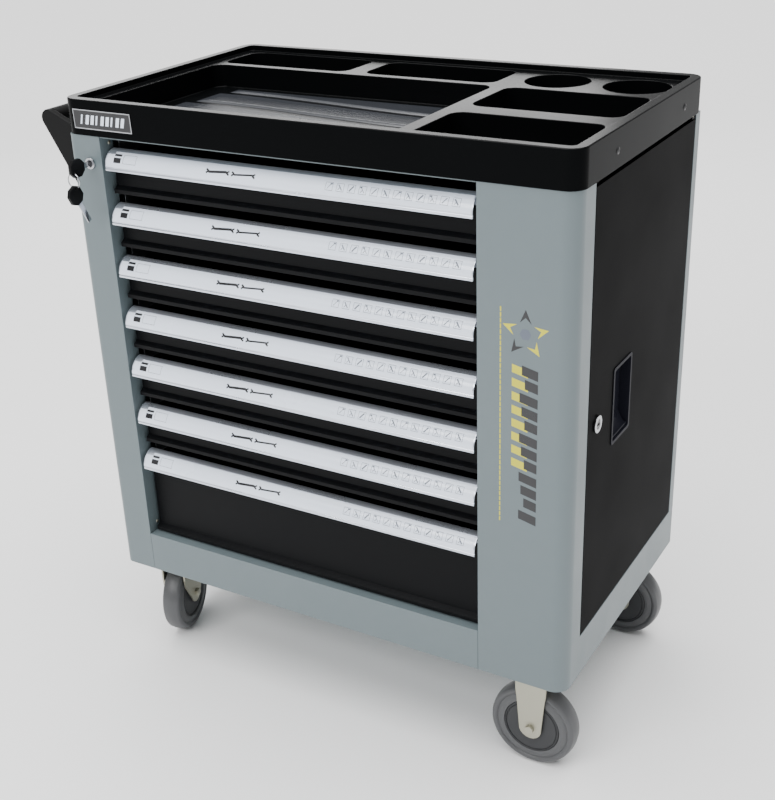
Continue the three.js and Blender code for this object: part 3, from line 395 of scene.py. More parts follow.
def copy_node(node, name):
    """A clean copy of a frame node: merged, with its flat faces joined up."""
    bm = bmesh.new()
    bm.from_mesh(frame["nodes"][node].data)
    bmesh.ops.remove_doubles(bm, verts=bm.verts, dist=2e-5)
    bmesh.ops.dissolve_limit(bm, angle_limit=math.radians(1.0), verts=bm.verts, edges=bm.edges)
    mesh = bpy.data.meshes.new(name)
    bm.to_mesh(mesh)
    bm.free()
    obj = bpy.data.objects.new(name, mesh)
    bpy.context.scene.collection.objects.link(obj)
    return obj


def body_of(node):
    """The body that holds a frame node."""
    for body, members in frame["record"]["behaviour"]["bodies"].items():
        if node in members:
            return body
    raise RuntimeError("no body holds " + node)


def slot_of(node):
    """The material slot of a frame node."""
    for entry in frame["record"]["subparts"]:
        if entry["node"] == node:
            return entry["material_slot"]
    raise RuntimeError("no slot for " + node)


def dressed_node(node, material, width, segments=2):
    """The frame node with rounded edges and a finish."""
    obj = copy_node(node, "look_" + node)
    round_edges(obj, width, segments)
    return place(obj, material, body_of(node), slot_of(node), node)


def outline(x0, x1, y0, y1, radius, steps=8):
    """A rounded rectangle, counter-clockwise."""
    corners = ((x1 - radius, y0 + radius, -90), (x1 - radius, y1 - radius, 0),
               (x0 + radius, y1 - radius, 90), (x0 + radius, y0 + radius, 180))
    points = []
    for cx, cy, start in corners:
        for i in range(steps + 1):
            a = math.radians(start + 90 * i / steps)
            points.append((cx + radius * math.cos(a), cy + radius * math.sin(a)))
    return points


def extruded(bm, points, to_space, depth0, depth1):
    """Adds a closed prism: points are flat, to_space(u, v, depth) puts them in place."""
    low = [bm.verts.new(to_space(u, v, depth0)) for u, v in points]
    high = [bm.verts.new(to_space(u, v, depth1)) for u, v in points]
    count = len(points)
    bm.faces.new(list(reversed(low)))
    bm.faces.new(high)
    for i in range(count):
        j = (i + 1) % count
        bm.faces.new((low[i], low[j], high[j], high[i]))


def along_z(u, v, depth):
    return (u, v, depth)


def along_x(u, v, depth):
    return (depth, u, v)


def along_y(u, v, depth):
    return (u, depth, v)


def lathed(bm, profile, centre, axis, segments=64):
    """Spins a closed profile of (radius, along) about an axis through centre."""
    axis = Vector(axis).normalized()
    side = axis.orthogonal().normalized()
    other = axis.cross(side)
    rings = []
    for i in range(segments):
        a = 2 * math.pi * i / segments
        out = side * math.cos(a) + other * math.sin(a)
        rings.append([bm.verts.new(Vector(centre) + out * r + axis * h) for r, h in profile])
    count = len(profile)
    for i in range(segments):
        j = (i + 1) % segments
        for k in range(count):
            m = (k + 1) % count
            bm.faces.new((rings[i][k], rings[j][k], rings[j][m], rings[i][m]))


def cut_with(obj, tool):
    """Subtracts the tool and removes it."""
    boolean = obj.modifiers.new("Cut", "BOOLEAN")
    boolean.operation = "DIFFERENCE"
    boolean.solver = "EXACT"
    boolean.object = tool
    bake_modifiers(obj)
    mesh = tool.data
    bpy.data.objects.remove(tool)
    bpy.data.meshes.remove(mesh)


# ---------------------------------------------------------------- geometry nodes

def scatter_tree(name, build_head):
    """A node tree that puts one head, made by build_head, on every point of a mesh, turned to the
    point's own direction."""
    tree = bpy.data.node_groups.new(name, "GeometryNodeTree")
    socket(tree, "Points", "NodeSocketGeometry", "INPUT")
    socket(tree, "Radius", "NodeSocketFloat", "INPUT", 0.004)
    socket(tree, "Height", "NodeSocketFloat", "INPUT", 0.002)
    socket(tree, "Finish", "NodeSocketMaterial", "INPUT")
    socket(tree, "Pieces", "NodeSocketGeometry", "OUTPUT")
    n = tree.nodes
    entry, out = n.new("NodeGroupInput"), n.new("NodeGroupOutput")
    head = build_head(tree, entry)
    to_points = n.new("GeometryNodeMeshToPoints")
    instance = n.new("GeometryNodeInstanceOnPoints")
    align = n.new("FunctionNodeAlignRotationToVector")
    align.axis = "Z"
    way = n.new("GeometryNodeInputNamedAttribute")
    way.data_type = "FLOAT_VECTOR"
    way.inputs["Name"].default_value = "facing"
    realize, paint = n.new("GeometryNodeRealizeInstances"), n.new("GeometryNodeSetMaterial")
    link(tree, entry.outputs["Points"], to_points.inputs["Mesh"])
    link(tree, to_points.outputs["Points"], instance.inputs["Points"])
    link(tree, head, instance.inputs["Instance"])
    link(tree, way.outputs["Attribute"], align.inputs["Vector"])
    link(tree, align.outputs["Rotation"], instance.inputs["Rotation"])
    link(tree, instance.outputs["Instances"], realize.inputs["Geometry"])
    link(tree, realize.outputs["Geometry"], paint.inputs["Geometry"])
    link(tree, entry.outputs["Finish"], paint.inputs["Material"])
    link(tree, paint.outputs["Geometry"], out.inputs["Pieces"])
    return tree


def domed_head(tree, entry):
    """A low dome with a rim, from a sphere squashed to the asked height."""
    n = tree.nodes
    ball, shape, size = (n.new("GeometryNodeMeshUVSphere"), n.new("GeometryNodeTransform"),
                         n.new("ShaderNodeCombineXYZ"))
    ball.inputs["Segments"].default_value = 20
    ball.inputs["Rings"].default_value = 10
    link(tree, entry.outputs["Radius"], size.inputs["X"])
    link(tree, entry.outputs["Radius"], size.inputs["Y"])
    link(tree, entry.outputs["Height"], size.inputs["Z"])
    link(tree, ball.outputs["Mesh"], shape.inputs["Geometry"])
    link(tree, size.outputs["Vector"], shape.inputs["Scale"])
    return shape.outputs["Geometry"]


def hex_head(tree, entry):
    """A six-sided head with a washer under it."""
    n = tree.nodes
    geometries = []
    for sides, wider, taller in ((6, 0.82, 2.0), (24, 1.25, 0.7)):
        prism = n.new("GeometryNodeMeshCylinder")
        prism.inputs["Vertices"].default_value = sides
        radius, depth = n.new("ShaderNodeMath"), n.new("ShaderNodeMath")
        radius.operation = depth.operation = "MULTIPLY"
        radius.inputs[1].default_value = wider
        depth.inputs[1].default_value = taller
        link(tree, entry.outputs["Radius"], radius.inputs[0])
        link(tree, entry.outputs["Height"], depth.inputs[0])
        link(tree, radius.outputs[0], prism.inputs["Radius"])
        link(tree, depth.outputs[0], prism.inputs["Depth"])
        geometries.append(prism.outputs["Mesh"])
    both = n.new("GeometryNodeJoinGeometry")
    for geometry in geometries:
        link(tree, geometry, both.inputs["Geometry"])
    return both.outputs["Geometry"]


def cross_head(tree, entry):
    """A domed screw head with a cross recess cut into it."""
    n = tree.nodes
    dome = domed_head(tree, entry)
    cutters = []
    for long, wide in ((1.1, 0.24), (0.24, 1.1)):
        slot, size = n.new("GeometryNodeMeshCube"), n.new("ShaderNodeCombineXYZ")
        across, along = n.new("ShaderNodeMath"), n.new("ShaderNodeMath")
        across.operation = along.operation = "MULTIPLY"
        across.inputs[1].default_value = long
        along.inputs[1].default_value = wide
        link(tree, entry.outputs["Radius"], across.inputs[0])
        link(tree, entry.outputs["Radius"], along.inputs[0])
        link(tree, across.outputs[0], size.inputs["X"])
        link(tree, along.outputs[0], size.inputs["Y"])
        link(tree, entry.outputs["Height"], size.inputs["Z"])
        move, up = n.new("GeometryNodeTransform"), n.new("ShaderNodeCombineXYZ")
        link(tree, entry.outputs["Height"], up.inputs["Z"])
        link(tree, size.outputs["Vector"], slot.inputs["Size"])
        link(tree, slot.outputs["Mesh"], move.inputs["Geometry"])
        link(tree, up.outputs["Vector"], move.inputs["Translation"])
        cutters.append(move.outputs["Geometry"])
    cut = n.new("GeometryNodeMeshBoolean")
    cut.operation = "DIFFERENCE"
    cut.solver = "EXACT"
    link(tree, dome, cut.inputs["Mesh 1"])
    for cutter in cutters:
        link(tree, cutter, cut.inputs["Mesh 2"])
    return cut.outputs["Mesh"]


HEADS = {"rivet": domed_head, "hex": hex_head, "cross": cross_head}


def fasteners(name, kind, points, radius, height, material, body):
    """One piece of like fasteners: points are (place, facing) pairs."""
    mesh = bpy.data.meshes.new(name)
    mesh.from_pydata([tuple(p) for p, _ in points], [], [])
    facing = mesh.attributes.new("facing", "FLOAT_VECTOR", "POINT")
    for i, (_, way) in enumerate(points):
        facing.data[i].vector = way
    obj = bpy.data.objects.new(name, mesh)
    bpy.context.scene.collection.objects.link(obj)
    tree = bpy.data.node_groups.get("Scatter " + kind) or scatter_tree("Scatter " + kind, HEADS[kind])
    modifier = obj.modifiers.new("Fasteners", "NODES")
    modifier.node_group = tree
    values = {"Radius": radius, "Height": height, "Finish": material}
    for item in tree.interface.items_tree:
        if item.in_out == "INPUT" and item.name in values:
            modifier[item.identifier] = values[item.name]
    bake_modifiers(obj)
    smooth(obj, 32)
    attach(obj, body)
    return obj


# ---------------------------------------------------------------- operators

class ChestOperator:
    """What every builder of the chest shares."""

    bl_options = {"REGISTER", "UNDO"}

    def execute(self, context):
        self.build(context.scene.chest_sizes, looks())
        return {"FINISHED"}


class TOOLCHEST_OT_cabinet(ChestOperator, bpy.types.Operator):
    """Folded sheets of the cabinet, with rounded folds and powder coat"""

    bl_idname = "toolchest.cabinet"
    bl_label = "Cabinet"

    def build(self, sizes, look):
        for node in ("left_side_shell", "right_side_shell", "front_bottom_rail", "back_panel", "base_pan",
                     "top_deck", "locker_divider"):
            dressed_node(node, look["cabinet"], sizes.sheet_edge)
        for node in ("door_jamb_frame", "locker_shelf_lower", "locker_shelf_upper"):
            dressed_node(node, look["front"], sizes.sheet_edge)
        for node in ("slide_rack_left", "slide_rack_right"):
            dressed_node(node, look["steel"], sizes.sheet_edge)
        dressed_node("lock_bar", look["zinc"], sizes.sheet_edge)
        for node in ("door_hinge_pin_upper", "door_hinge_pin_lower"):
            dressed_node(node, look["zinc"], sizes.sheet_edge)


class TOOLCHEST_OT_tray(ChestOperator, bpy.types.Operator):
    """Moulded top tray with filleted pockets, cup holders and a curved ribbed floor"""

    bl_idname = "toolchest.tray"
    bl_label = "Top Tray"

    RIM = 0.014
    DECK_DROP = 0.008
    POCKET_DEPTH = 0.033
    CORNER = 0.022
    POCKET_CORNER = 0.018
    CUP = 0.045
    POCKET_INSET = 0.0056

    def build(self, sizes, look):
        (x0, y0, z0), (x1, y1, z1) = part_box("top_tray")
        deck = z1 - self.DECK_DROP
        floor = deck - self.POCKET_DEPTH
        tray = self.solid("look_top_tray", outline(x0, x1, y0, y1, self.CORNER, 12), z0, z1)
        r = self.RIM
        inner = outline(x0 + r, x1 - r, y0 + r, y1 - r, self.CORNER - r, 8)
        cut_with(tray, self.solid("tool", inner, deck, z1 + r))
        under = DECK_HIGH[2] + 0.0008
        u = 0.006
        skirt = outline(x0 + u, x1 - u, y0 + u, y1 - u, self.CORNER - u, 8)
        cut_with(tray, self.solid("tool", skirt, z0 - r, under))
        pockets, cups = self.hollows()
        for px0, px1, py0, py1 in pockets.values():
            cut_with(tray, self.solid(
                "tool", outline(px0, px1, py0, py1, self.POCKET_CORNER, 8), floor, z1 + r))
        for cx, cy in cups:
            ring = [(cx + self.CUP * math.cos(a), cy + self.CUP * math.sin(a))
                    for a in (2 * math.pi * i / 48 for i in range(48))]
            cut_with(tray, self.solid("tool", ring, floor, z1 + r))
        self.weigh_edges(tray, (x0, x1, y0, y1, z0, z1), deck, floor, sizes)
        round_edges(tray, sizes.rim_edge, 4, weighted=True)
        place(tray, look["tray"], "cabinet", slot_of("top_tray"), "top_tray")
        self.ribs(pockets["tray_large"], floor, look)
        self.screws(sizes, look)

    def solid(self, name, points, z0, z1):
        bm = bmesh.new()
        extruded(bm, points, along_z, z0, z1)
        return mesh_object(name, bm)

    def hollows(self):
        """The pockets and cup centres, from the openings that the record states."""
        pockets, cups = {}, []
        for opening in frame["record"]["physics"]["openings"]:
            name = opening["name"]
            (ax, ay, _), (bx, by, _) = opening["box_m"]
            if name.startswith("tray_cup"):
                cups.append(((ax + bx) / 2, (ay + by) / 2))
            elif name.startswith("tray_"):
                q = self.POCKET_INSET
                pockets[name] = (ax - q, bx + q, ay - q, by + q)
        return pockets, cups

    def weigh_edges(self, tray, limits, deck, floor, sizes):
        """Outer rim edges get the full rounding, pocket edges less, and hidden ones none."""
        x0, x1, y0, y1, z0, z1 = limits
        mesh = tray.data
        bm = bmesh.new()
        bm.from_mesh(mesh)
        bmesh.ops.remove_doubles(bm, verts=bm.verts, dist=1e-6)
        bmesh.ops.dissolve_limit(bm, angle_limit=math.radians(0.5), verts=bm.verts, edges=bm.edges)
        layer = bm.edges.layers.float.new("bevel_weight_edge")
        pocket = sizes.pocket_edge / sizes.rim_edge
        for edge in bm.edges:
            a, b = (v.co for v in edge.verts)
            if abs(a.z - b.z) > 1e-5:
                continue
            angle = edge.calc_face_angle(0)
            if angle < math.radians(40):
                continue
            outer = self.is_outer(a, limits) and self.is_outer(b, limits)
            if abs(a.z - z1) < 1e-5:
                edge[layer] = 1.0 if outer else pocket
            elif abs(a.z - deck) < 1e-5:
                edge[layer] = pocket
            elif abs(a.z - floor) < 1e-5:
                edge[layer] = 1.0
            elif abs(a.z - z0) < 1e-5 and outer:
                edge[layer] = 0.25
        bm.to_mesh(mesh)
        bm.free()

    def is_outer(self, point, limits):
        x0, x1, y0, y1 = limits[:4]
        r = self.CORNER
        dx = max(x0 + r - point.x, point.x - x1 + r, 0)
        dy = max(y0 + r - point.y, point.y - y1 + r, 0)
        return math.hypot(dx, dy) > r - 0.001

    def ribs(self, pocket, floor, look):
        """Four long slats in the large pocket, each rising to a curved ridge."""
        px0, px1, py0, py1 = pocket
        count, height, sweep, clear, lead = 4, 0.0026, 0.034, 0.012, 0.045
        bm = bmesh.new()
        steps = 40
        first = py0 + clear + sweep
        pitch = (py1 - 0.03 - first) / (count - 1)
        for k in range(count):
            y = first + pitch * k
            start = px0 + clear + lead * 0.25 * k
            rows = []
            for i in range(steps + 1):
                t = i / steps
                x = start + (px1 - clear - start) * t
                ridge = y - sweep * (1 - math.cos(math.pi * t)) / 2
                rise = height * min(t / 0.03, 1) * min((1 - t) / 0.03, 1)
                back = min(pitch * 0.8, py1 - clear - ridge)
                rows.append([
                    bm.verts.new((x, ridge - 0.004, floor + 0.00005)),
                    bm.verts.new((x, ridge - 0.0012, floor + 0.00005 + rise * 0.8)),
                    bm.verts.new((x, ridge + 0.0012, floor + 0.00005 + rise)),
                    bm.verts.new((x, ridge + 0.004, floor + 0.00005 + rise * 0.86)),
                    bm.verts.new((x, ridge + back, floor + 0.00005)),
                    bm.verts.new((x, ridge + back, floor - 0.0006)),
                    bm.verts.new((x, ridge - 0.004, floor - 0.0006)),
                ])
            for a, b in zip(rows, rows[1:]):
                for i in range(len(a)):
                    j = (i + 1) % len(a)
                    bm.faces.new((a[i], a[j], b[j], b[i]))
            bm.faces.new(rows[0])
            bm.faces.new(list(reversed(rows[-1])))
        ribs = mesh_object("look_tray_ribs", bm)
        smooth(ribs, 50)
        # The slats take the lighter slat finish, which paints the floor's sheen.
        place(ribs, look["slat"], "cabinet", slot_of("top_tray"))

    def screws(self, sizes, look):
        """Two screws in each side of the rim."""
        z = TRAY_HIGH[2] - 0.0265
        points = []
        for y in (CENTRE.y - 0.1074, CENTRE.y + 0.1359):
            points.append((Vector((TRAY_HIGH[0] - 0.0002, y, z)), (1, 0, 0)))
            points.append((Vector((TRAY_LOW[0] + 0.0002, y, z)), (-1, 0, 0)))
        fasteners("look_tray_screws", "cross", points, sizes.screw, 0.0017, look["ink"], "cabinet")


class TOOLCHEST_OT_drawers(ChestOperator, bpy.types.Operator):
    """Drawer boxes, curved pulls and the printed strips on the pulls"""

    bl_idname = "toolchest.drawers"
    bl_label = "Drawers"

    WALL = 0.0016
    BEAD = 0.005

    def build(self, sizes, look):
        for i in range(1, DRAWERS + 1):
            dressed_node(f"drawer_{i}_box", look["front"], sizes.sheet_edge * 1.4)
            self.pull(i, sizes, look)
            self.label(i, sizes, look)

    def section(self, low, high, sweep):
        """The pull's closed section: quarter-round skin, rolled bead and mounting flange."""
        front, top = low[1], high[2]
        cy, cz = front + sweep, top - sweep
        w = self.WALL
        points = []
        steps = 24
        for i in range(steps + 1):
            a = math.radians(90 + 90 * i / steps)
            points.append((cy + sweep * math.cos(a), cz + sweep * math.sin(a)))
        bead_top = low[2] + self.BEAD - 0.0006
        points += [(front + 0.0007, cz - 0.0003), (front + 0.0007, bead_top)]
        for i in range(9):
            a = math.radians(90 + 180 * i / 8)
            r = (bead_top - low[2]) / 2
            points.append((front + 0.0012 + 0.0012 * math.cos(a), low[2] + r + r * math.sin(a)))
        points += [(front + 0.0024, low[2] + 0.0006), (front + 0.0024, cz)]
        inner = sweep - w
        flange_y = FRONT_FLANGE.get("y")
        for i in range(steps + 1):
            a = math.radians(180 - 90 * i / steps)
            y, z = cy + inner * math.cos(a), cz + inner * math.sin(a)
            if i and y > flange_y - w:
                points += [(flange_y - w, z), (flange_y - w, top - 0.015), (flange_y, top - 0.015),
                           (flange_y, cz + math.sqrt(inner ** 2 - (flange_y - cy) ** 2))]
                break
            points.append((y, z))
        points.append((cy, cz + inner))
        return points

    def pull(self, index, sizes, look):
        node = f"drawer_{index}_pull"
        low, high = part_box(node)
        bm = bmesh.new()
        extruded(bm, self.section(low, high, sizes.pull_sweep), along_x, low[0], high[0])
        obj = mesh_object("look_" + node, bm)
        smooth(obj, 25)
        place(obj, look["pull"], f"drawer_{index}", slot_of(node), node)

    def on_arc(self, low, high, sweep, x, rise, lift):
        """A point on the pull's face: rise is the length up the curve from its foot."""
        a = math.pi - rise / sweep
        r = sweep + lift
        return (x, low[1] + sweep + r * math.cos(a), high[2] - sweep + r * math.sin(a))

    def patch(self, bm, low, high, sweep, points, lift):
        """A thin printed shape from flat points (x, rise) laid on the pull's face."""
        verts = [bm.verts.new(self.on_arc(low, high, sweep, x, rise, lift)) for x, rise in points]
        bm.faces.new(verts)

    def band(self, bm, low, high, sweep, x0, x1, r0, r1, lift, steps=8):
        """A printed rectangle that follows the curve."""
        for i in range(steps):
            a = r0 + (r1 - r0) * i / steps
            b = r0 + (r1 - r0) * (i + 1) / steps
            self.patch(bm, low, high, sweep, [(x0, a), (x1, a), (x1, b), (x0, b)], lift)

    def label(self, index, sizes, look):
        low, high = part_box(f"drawer_{index}_pull")
        sweep = sizes.pull_sweep
        body, slot = f"drawer_{index}", slot_of(f"drawer_{index}_pull")
        bm = bmesh.new()
        r0, r1 = 0.0012, sweep * math.radians(64)
        steps = 16
        x0, x1 = low[0] + 0.0015, high[0] - 0.0015
        self.band(bm, low, high, sweep, x0 + 0.012, x1, r0, r1, 0.00008, steps)
        self.band(bm, low, high, sweep, x0, x0 + 0.012, r0, r1 * 0.8, 0.00008, steps)
        film = mesh_object(f"look_label_{index}", bm)
        smooth(film, 40)
        place(film, look["label"], body, slot)

        dark, pale = bmesh.new(), bmesh.new()
        lift = 0.00022
        side = sizes.icon
        at = low[0] + 0.014
        mid = sweep * math.radians(33)
        self.band(dark, low, high, sweep, at, at + side * 1.15, mid - side * 0.5, mid + side * 0.18, lift)
        self.band(dark, low, high, sweep, at, at + side * 1.15, mid + side * 0.4, mid + side * 0.72, lift)
        self.outline_box(pale, low, high, sweep, at + side * 1.5, at + side * 3.6, mid - side * 0.5,
                         mid + side * 0.7, 0.0004, lift)
        self.spanner(dark, low, high, sweep, low[0] + 0.172, mid, lift)
        span = high[0] - low[0]
        first = low[0] + span * 0.635
        step = (span * 0.345) / 12
        for k in range(12):
            self.icon(pale, low, high, sweep, first + step * k, mid, side, k, lift)
        for name, bm, finish in ((f"look_print_{index}", dark, look["ink"]),
                                 (f"look_icons_{index}", pale, look["print"])):
            obj = mesh_object(name, bm)
            place(obj, finish, body, slot)

    def outline_box(self, bm, low, high, sweep, x0, x1, r0, r1, line, lift):
        for a0, a1, b0, b1 in ((x0, x1, r0, r0 + line), (x0, x1, r1 - line, r1),
                               (x0, x0 + line, r0, r1), (x1 - line, x1, r0, r1)):
            self.band(bm, low, high, sweep, a0, a1, b0, b1, lift, 4)

    def stroke(self, bm, low, high, sweep, a, b, width, lift):
        """A straight printed stroke between two (x, rise) points."""
        along = Vector((b[0] - a[0], b[1] - a[1])).normalized()
        off = Vector((-along.y, along.x)) * width / 2
        a, b = Vector(a), Vector(b)
        parts = 3
        for i in range(parts):
            p, q = a.lerp(b, i / parts), a.lerp(b, (i + 1) / parts)
            self.patch(bm, low, high, sweep, [p - off, q - off, q + off, p + off], lift)

    def icon(self, bm, low, high, sweep, x, mid, side, kind, lift):
        """A faint frame with a plain hand-tool shape in it."""
        half = side / 2
        self.outline_box(bm, low, high, sweep, x, x + side, mid - half, mid + half, 0.0004, lift)
        cx = x + half
        lean = (-1) ** kind * side * 0.26
        top, foot = (cx + lean, mid + side * 0.32), (cx - lean, mid - side * 0.32)
        self.stroke(bm, low, high, sweep, foot, top, side * (0.06 + 0.05 * (kind % 3)), lift)
        if kind % 2:
            self.stroke(bm, low, high, sweep, (cx + lean, mid - side * 0.3), (cx, mid), side * 0.07, lift)
        if kind % 3 == 0:
            self.stroke(bm, low, high, sweep, (top[0] - side * 0.14, top[1]), (top[0] + side * 0.14, top[1]),
                        side * 0.16, lift)

    def spanner(self, bm, low, high, sweep, x, mid, lift):
        """Two plain open spanners side by side, the second one thinner."""
        line = 0.0024
        long, gap = 0.028, 0.012
        for k in range(2):
            a, b = x + k * (long + gap), x + long + k * (long + gap)
            width = line * (1.4 - 0.4 * k)
            self.stroke(bm, low, high, sweep, (a, mid - 0.001), (b, mid + 0.001), width, lift)
            for end, way in ((a, -1), (b, 1)):
                self.stroke(bm, low, high, sweep, (end, mid), (end + way * 0.004, mid + 0.0026), line, lift)
                self.stroke(bm, low, high, sweep, (end, mid), (end + way * 0.004, mid - 0.0026), line, lift)


FRONT_FLANGE = {"y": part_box("drawer_1_box")[0][1] + 0.007 - 0.0003}


class TOOLCHEST_OT_door(ChestOperator, bpy.types.Operator):
    """Locker door with its finger cup and cam lock"""

    bl_idname = "toolchest.door"
    bl_label = "Locker Door"

    def build(self, sizes, look):
        dressed_node("side_door", look["door"], sizes.sheet_edge)
        dressed_node("door_handle_cup", look["cup"], 0.0006, 3)
        dressed_node("door_lock_barrel", look["chrome"], 0.0005, 3)
        dressed_node("door_lock_plug", look["socket"], 0.0003)
        self.cup_ramp(look)

    def cup_ramp(self, look):
        """A sloped sill in the cup's lower end, where the fingers slide in."""
        (x0, y0, z0), (x1, y1, z1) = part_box("door_handle_cup")
        wall = 0.0062
        back, face = x0 + 0.0022, x1 - 0.0024
        bm = bmesh.new()
        profile = [(back, z0 + 0.0265), (back, z0 + wall)]
        steps = 10
        profile.append((face, z0 + wall))
        for i in range(steps + 1):
            t = i / steps
            profile.append((face + (back - face) * t, z0 + wall + 0.003 + 0.0175 * t * t))
        flat = [(x, z) for x, z in profile]
        extruded(bm, flat, lambda u, v, d: (u, d, v), y0 + wall, y1 - wall)
        ramp = mesh_object("look_door_cup_ramp", bm)
        round_edges(ramp, 0.0003)
        place(ramp, look["cup"], "door", slot_of("door_handle_cup"))


class TOOLCHEST_OT_locks(ChestOperator, bpy.types.Operator):
    """Drawer lock, the key in it, and the spare key hanging on a wire ring"""

    bl_idname = "toolchest.locks"
    bl_label = "Locks and Keys"

    HEAD = 0.026
    HANG = math.radians(27)

    def build(self, sizes, look):
        dressed_node("drawer_lock_barrel", look["chrome"], 0.0005, 3)
        dressed_node("drawer_lock_plug", look["socket"], 0.0003)
        self.key("drawer_lock_key", (0, 1, 0), look)
        self.key("spare_key", (0, math.sin(self.HANG), -math.cos(self.HANG)), look)
        self.ring(look)

    def key(self, node, way, look):
        """The node split at the head: plastic head, plated blade."""
        way = Vector(way)
        for part, finish in (("head", look["handle"]), ("blade", look["chrome"])):
            obj = copy_node(node, f"look_{node}_{part}")
            bm = bmesh.new()
            bm.from_mesh(obj.data)
            start = min(v.co.dot(way) for v in bm.verts)
            cut = bmesh.ops.bisect_plane(
                bm, geom=bm.verts[:] + bm.edges[:] + bm.faces[:],
                plane_co=way * (start + self.HEAD), plane_no=way,
                clear_outer=part == "head", clear_inner=part == "blade")
            rim = [e for e in cut["geom_cut"] if isinstance(e, bmesh.types.BMEdge)]
            bmesh.ops.holes_fill(bm, edges=rim)
            bmesh.ops.recalc_face_normals(bm, faces=bm.faces)
            bm.to_mesh(obj.data)
            bm.free()
            round_edges(obj, 0.0009 if part == "head" else 0.0002, 3)
            place(obj, finish, body_of(node), slot_of(node), *((node,) if part == "head" else ()))

    def ring(self, look):
        low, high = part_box("key_ring")
        centre = (Vector(low) + Vector(high)) / 2
        wire = (high[1] - low[1]) / 2
        radius = (high[0] - low[0]) / 2 - wire
        bm = bmesh.new()
        profile = [(radius + wire * math.cos(2 * math.pi * i / 10), wire * math.sin(2 * math.pi * i / 10))
                   for i in range(10)]
        lathed(bm, profile, centre, (0, 1, 0), 48)
        ring = mesh_object("look_key_ring", bm)
        smooth(ring, 80)
        place(ring, look["chrome"], body_of("key_ring"), slot_of("key_ring"), "key_ring")


class TOOLCHEST_OT_handle(ChestOperator, bpy.types.Operator):
    """Push handle: rounded brackets and a smooth grip tube"""

    bl_idname = "toolchest.handle"
    bl_label = "Push Handle"

    def build(self, sizes, look):
        for end in ("front", "rear"):
            dressed_node(f"push_handle_bracket_{end}", look["handle"], 0.0016, 3)
        low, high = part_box("push_handle_grip")
        centre = (Vector(low) + Vector(high)) / 2
        radius = (high[0] - low[0]) / 2
        half = (high[1] - low[1]) / 2
        wall = 0.002
        profile = [(radius - wall, -half), (radius - 0.0006, -half), (radius, -half + 0.0006),
                   (radius, half - 0.0006), (radius - 0.0006, half), (radius - wall, half)]
        bm = bmesh.new()
        lathed(bm, profile, centre, (0, 1, 0), 56)
        grip = mesh_object("look_push_handle_grip", bm)
        smooth(grip, 40)
        place(grip, look["handle"], "cabinet", slot_of("push_handle_grip"), "push_handle_grip")


class TOOLCHEST_OT_casters(ChestOperator, bpy.types.Operator):
    """Casters: rubber tyres on plastic hubs, pressed brackets, bolts and brake pedals"""

    bl_idname = "toolchest.casters"
    bl_label = "Casters"

    HUB = 0.0405

    def build(self, sizes, look):
        axes = {joint["child"]: joint["axis"] for joint in frame["joints"]}
        for side, part in (("right", "bracket"), ("left", "fork")):
            for end in ("front", "rear"):
                label = f"caster_{side}_{end}"
                dressed_node(f"{label}_{part}", look["zinc"], 0.0007)
                dressed_node(f"{label}_axle", look["zinc"], 0.0006)
                self.wheel(label, axes[f"{label}_roll"], look)
                if side == "left":
                    dressed_node(f"{label}_plate", look["zinc"], 0.0006)
                    dressed_node(f"{label}_brake", look["handle"], 0.0008, 3)
                self.plate_bolts(label, side, look)

    def wheel(self, label, axis, look):
        node = f"{label}_wheel"
        low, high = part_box(node)
        centre = (Vector(low) + Vector(high)) / 2
        radius = (high[2] - low[2]) / 2
        half = 0.015
        hub = self.HUB
        shoulder = 0.006
        half_profile = [(hub, half - 0.0024), (hub + 0.0008, half - 0.0006), (hub + 0.003, half),
                        (hub + 0.007, half - 0.0003), (radius - 0.0105, half - 0.0024),
                        (radius - 0.0088, half - 0.0008), (radius - 0.0075, half - 0.0002)]
        for i in range(1, 7):
            a = math.radians(90 * i / 6)
            half_profile.append((radius - 0.0075 + 0.0062 * math.sin(a),
                                 half - shoulder + (shoulder - 0.0002) * math.cos(a)))
        half_profile += [(radius - 0.0004, half * 0.35), (radius, 0.0)]
        tyre_profile = [(r, -h) for r, h in half_profile] + [(r, h) for r, h in reversed(half_profile[:-1])]
        bm = bmesh.new()
        lathed(bm, tyre_profile, centre, axis, 96)
        tyre = mesh_object("look_" + node + "_tyre", bm)
        smooth(tyre, 40)
        body = f"{label}_roll"
        place(tyre, look["tyre"], body, slot_of(node), node)

        bore, boss, cap = 0.0043, 0.0166, 0.012
        groove = 0.0012
        side = [(bore, boss), (cap - 0.001, boss), (cap, boss - 0.001), (cap, half - 0.0012),
                (hub - 0.0042, half - 0.0008), (hub - 0.0036, half - 0.0008 - groove),
                (hub - 0.0026, half - 0.0008 - groove), (hub - 0.002, half - 0.0006),
                (hub - 0.0004, half - 0.0014)]
        profile = [(r, -h) for r, h in side] + [(r, h) for r, h in reversed(side)]
        bm = bmesh.new()
        lathed(bm, profile, centre, axis, 96)
        disc = mesh_object("look_" + node + "_hub", bm)
        smooth(disc, 30)
        place(disc, look["hub"], body, slot_of(node))

    def plate_bolts(self, label, side, look):
        """Four bolts through the mounting plate, seen from below."""
        node = f"{label}_bracket" if side == "right" else f"{label}_plate"
        low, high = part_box(node)
        inset = 0.009
        points = []
        for x in (low[0] + inset, high[0] - inset):
            for y in (low[1] + inset, high[1] - inset):
                points.append((Vector((x, y, high[2] - 0.0027)), (0, 0, -1)))
        radius, height = 0.0052, 0.0024
        fasteners(
            f"look_{label}_bolts", "hex", points, radius, height, look["zinc"], "cabinet")


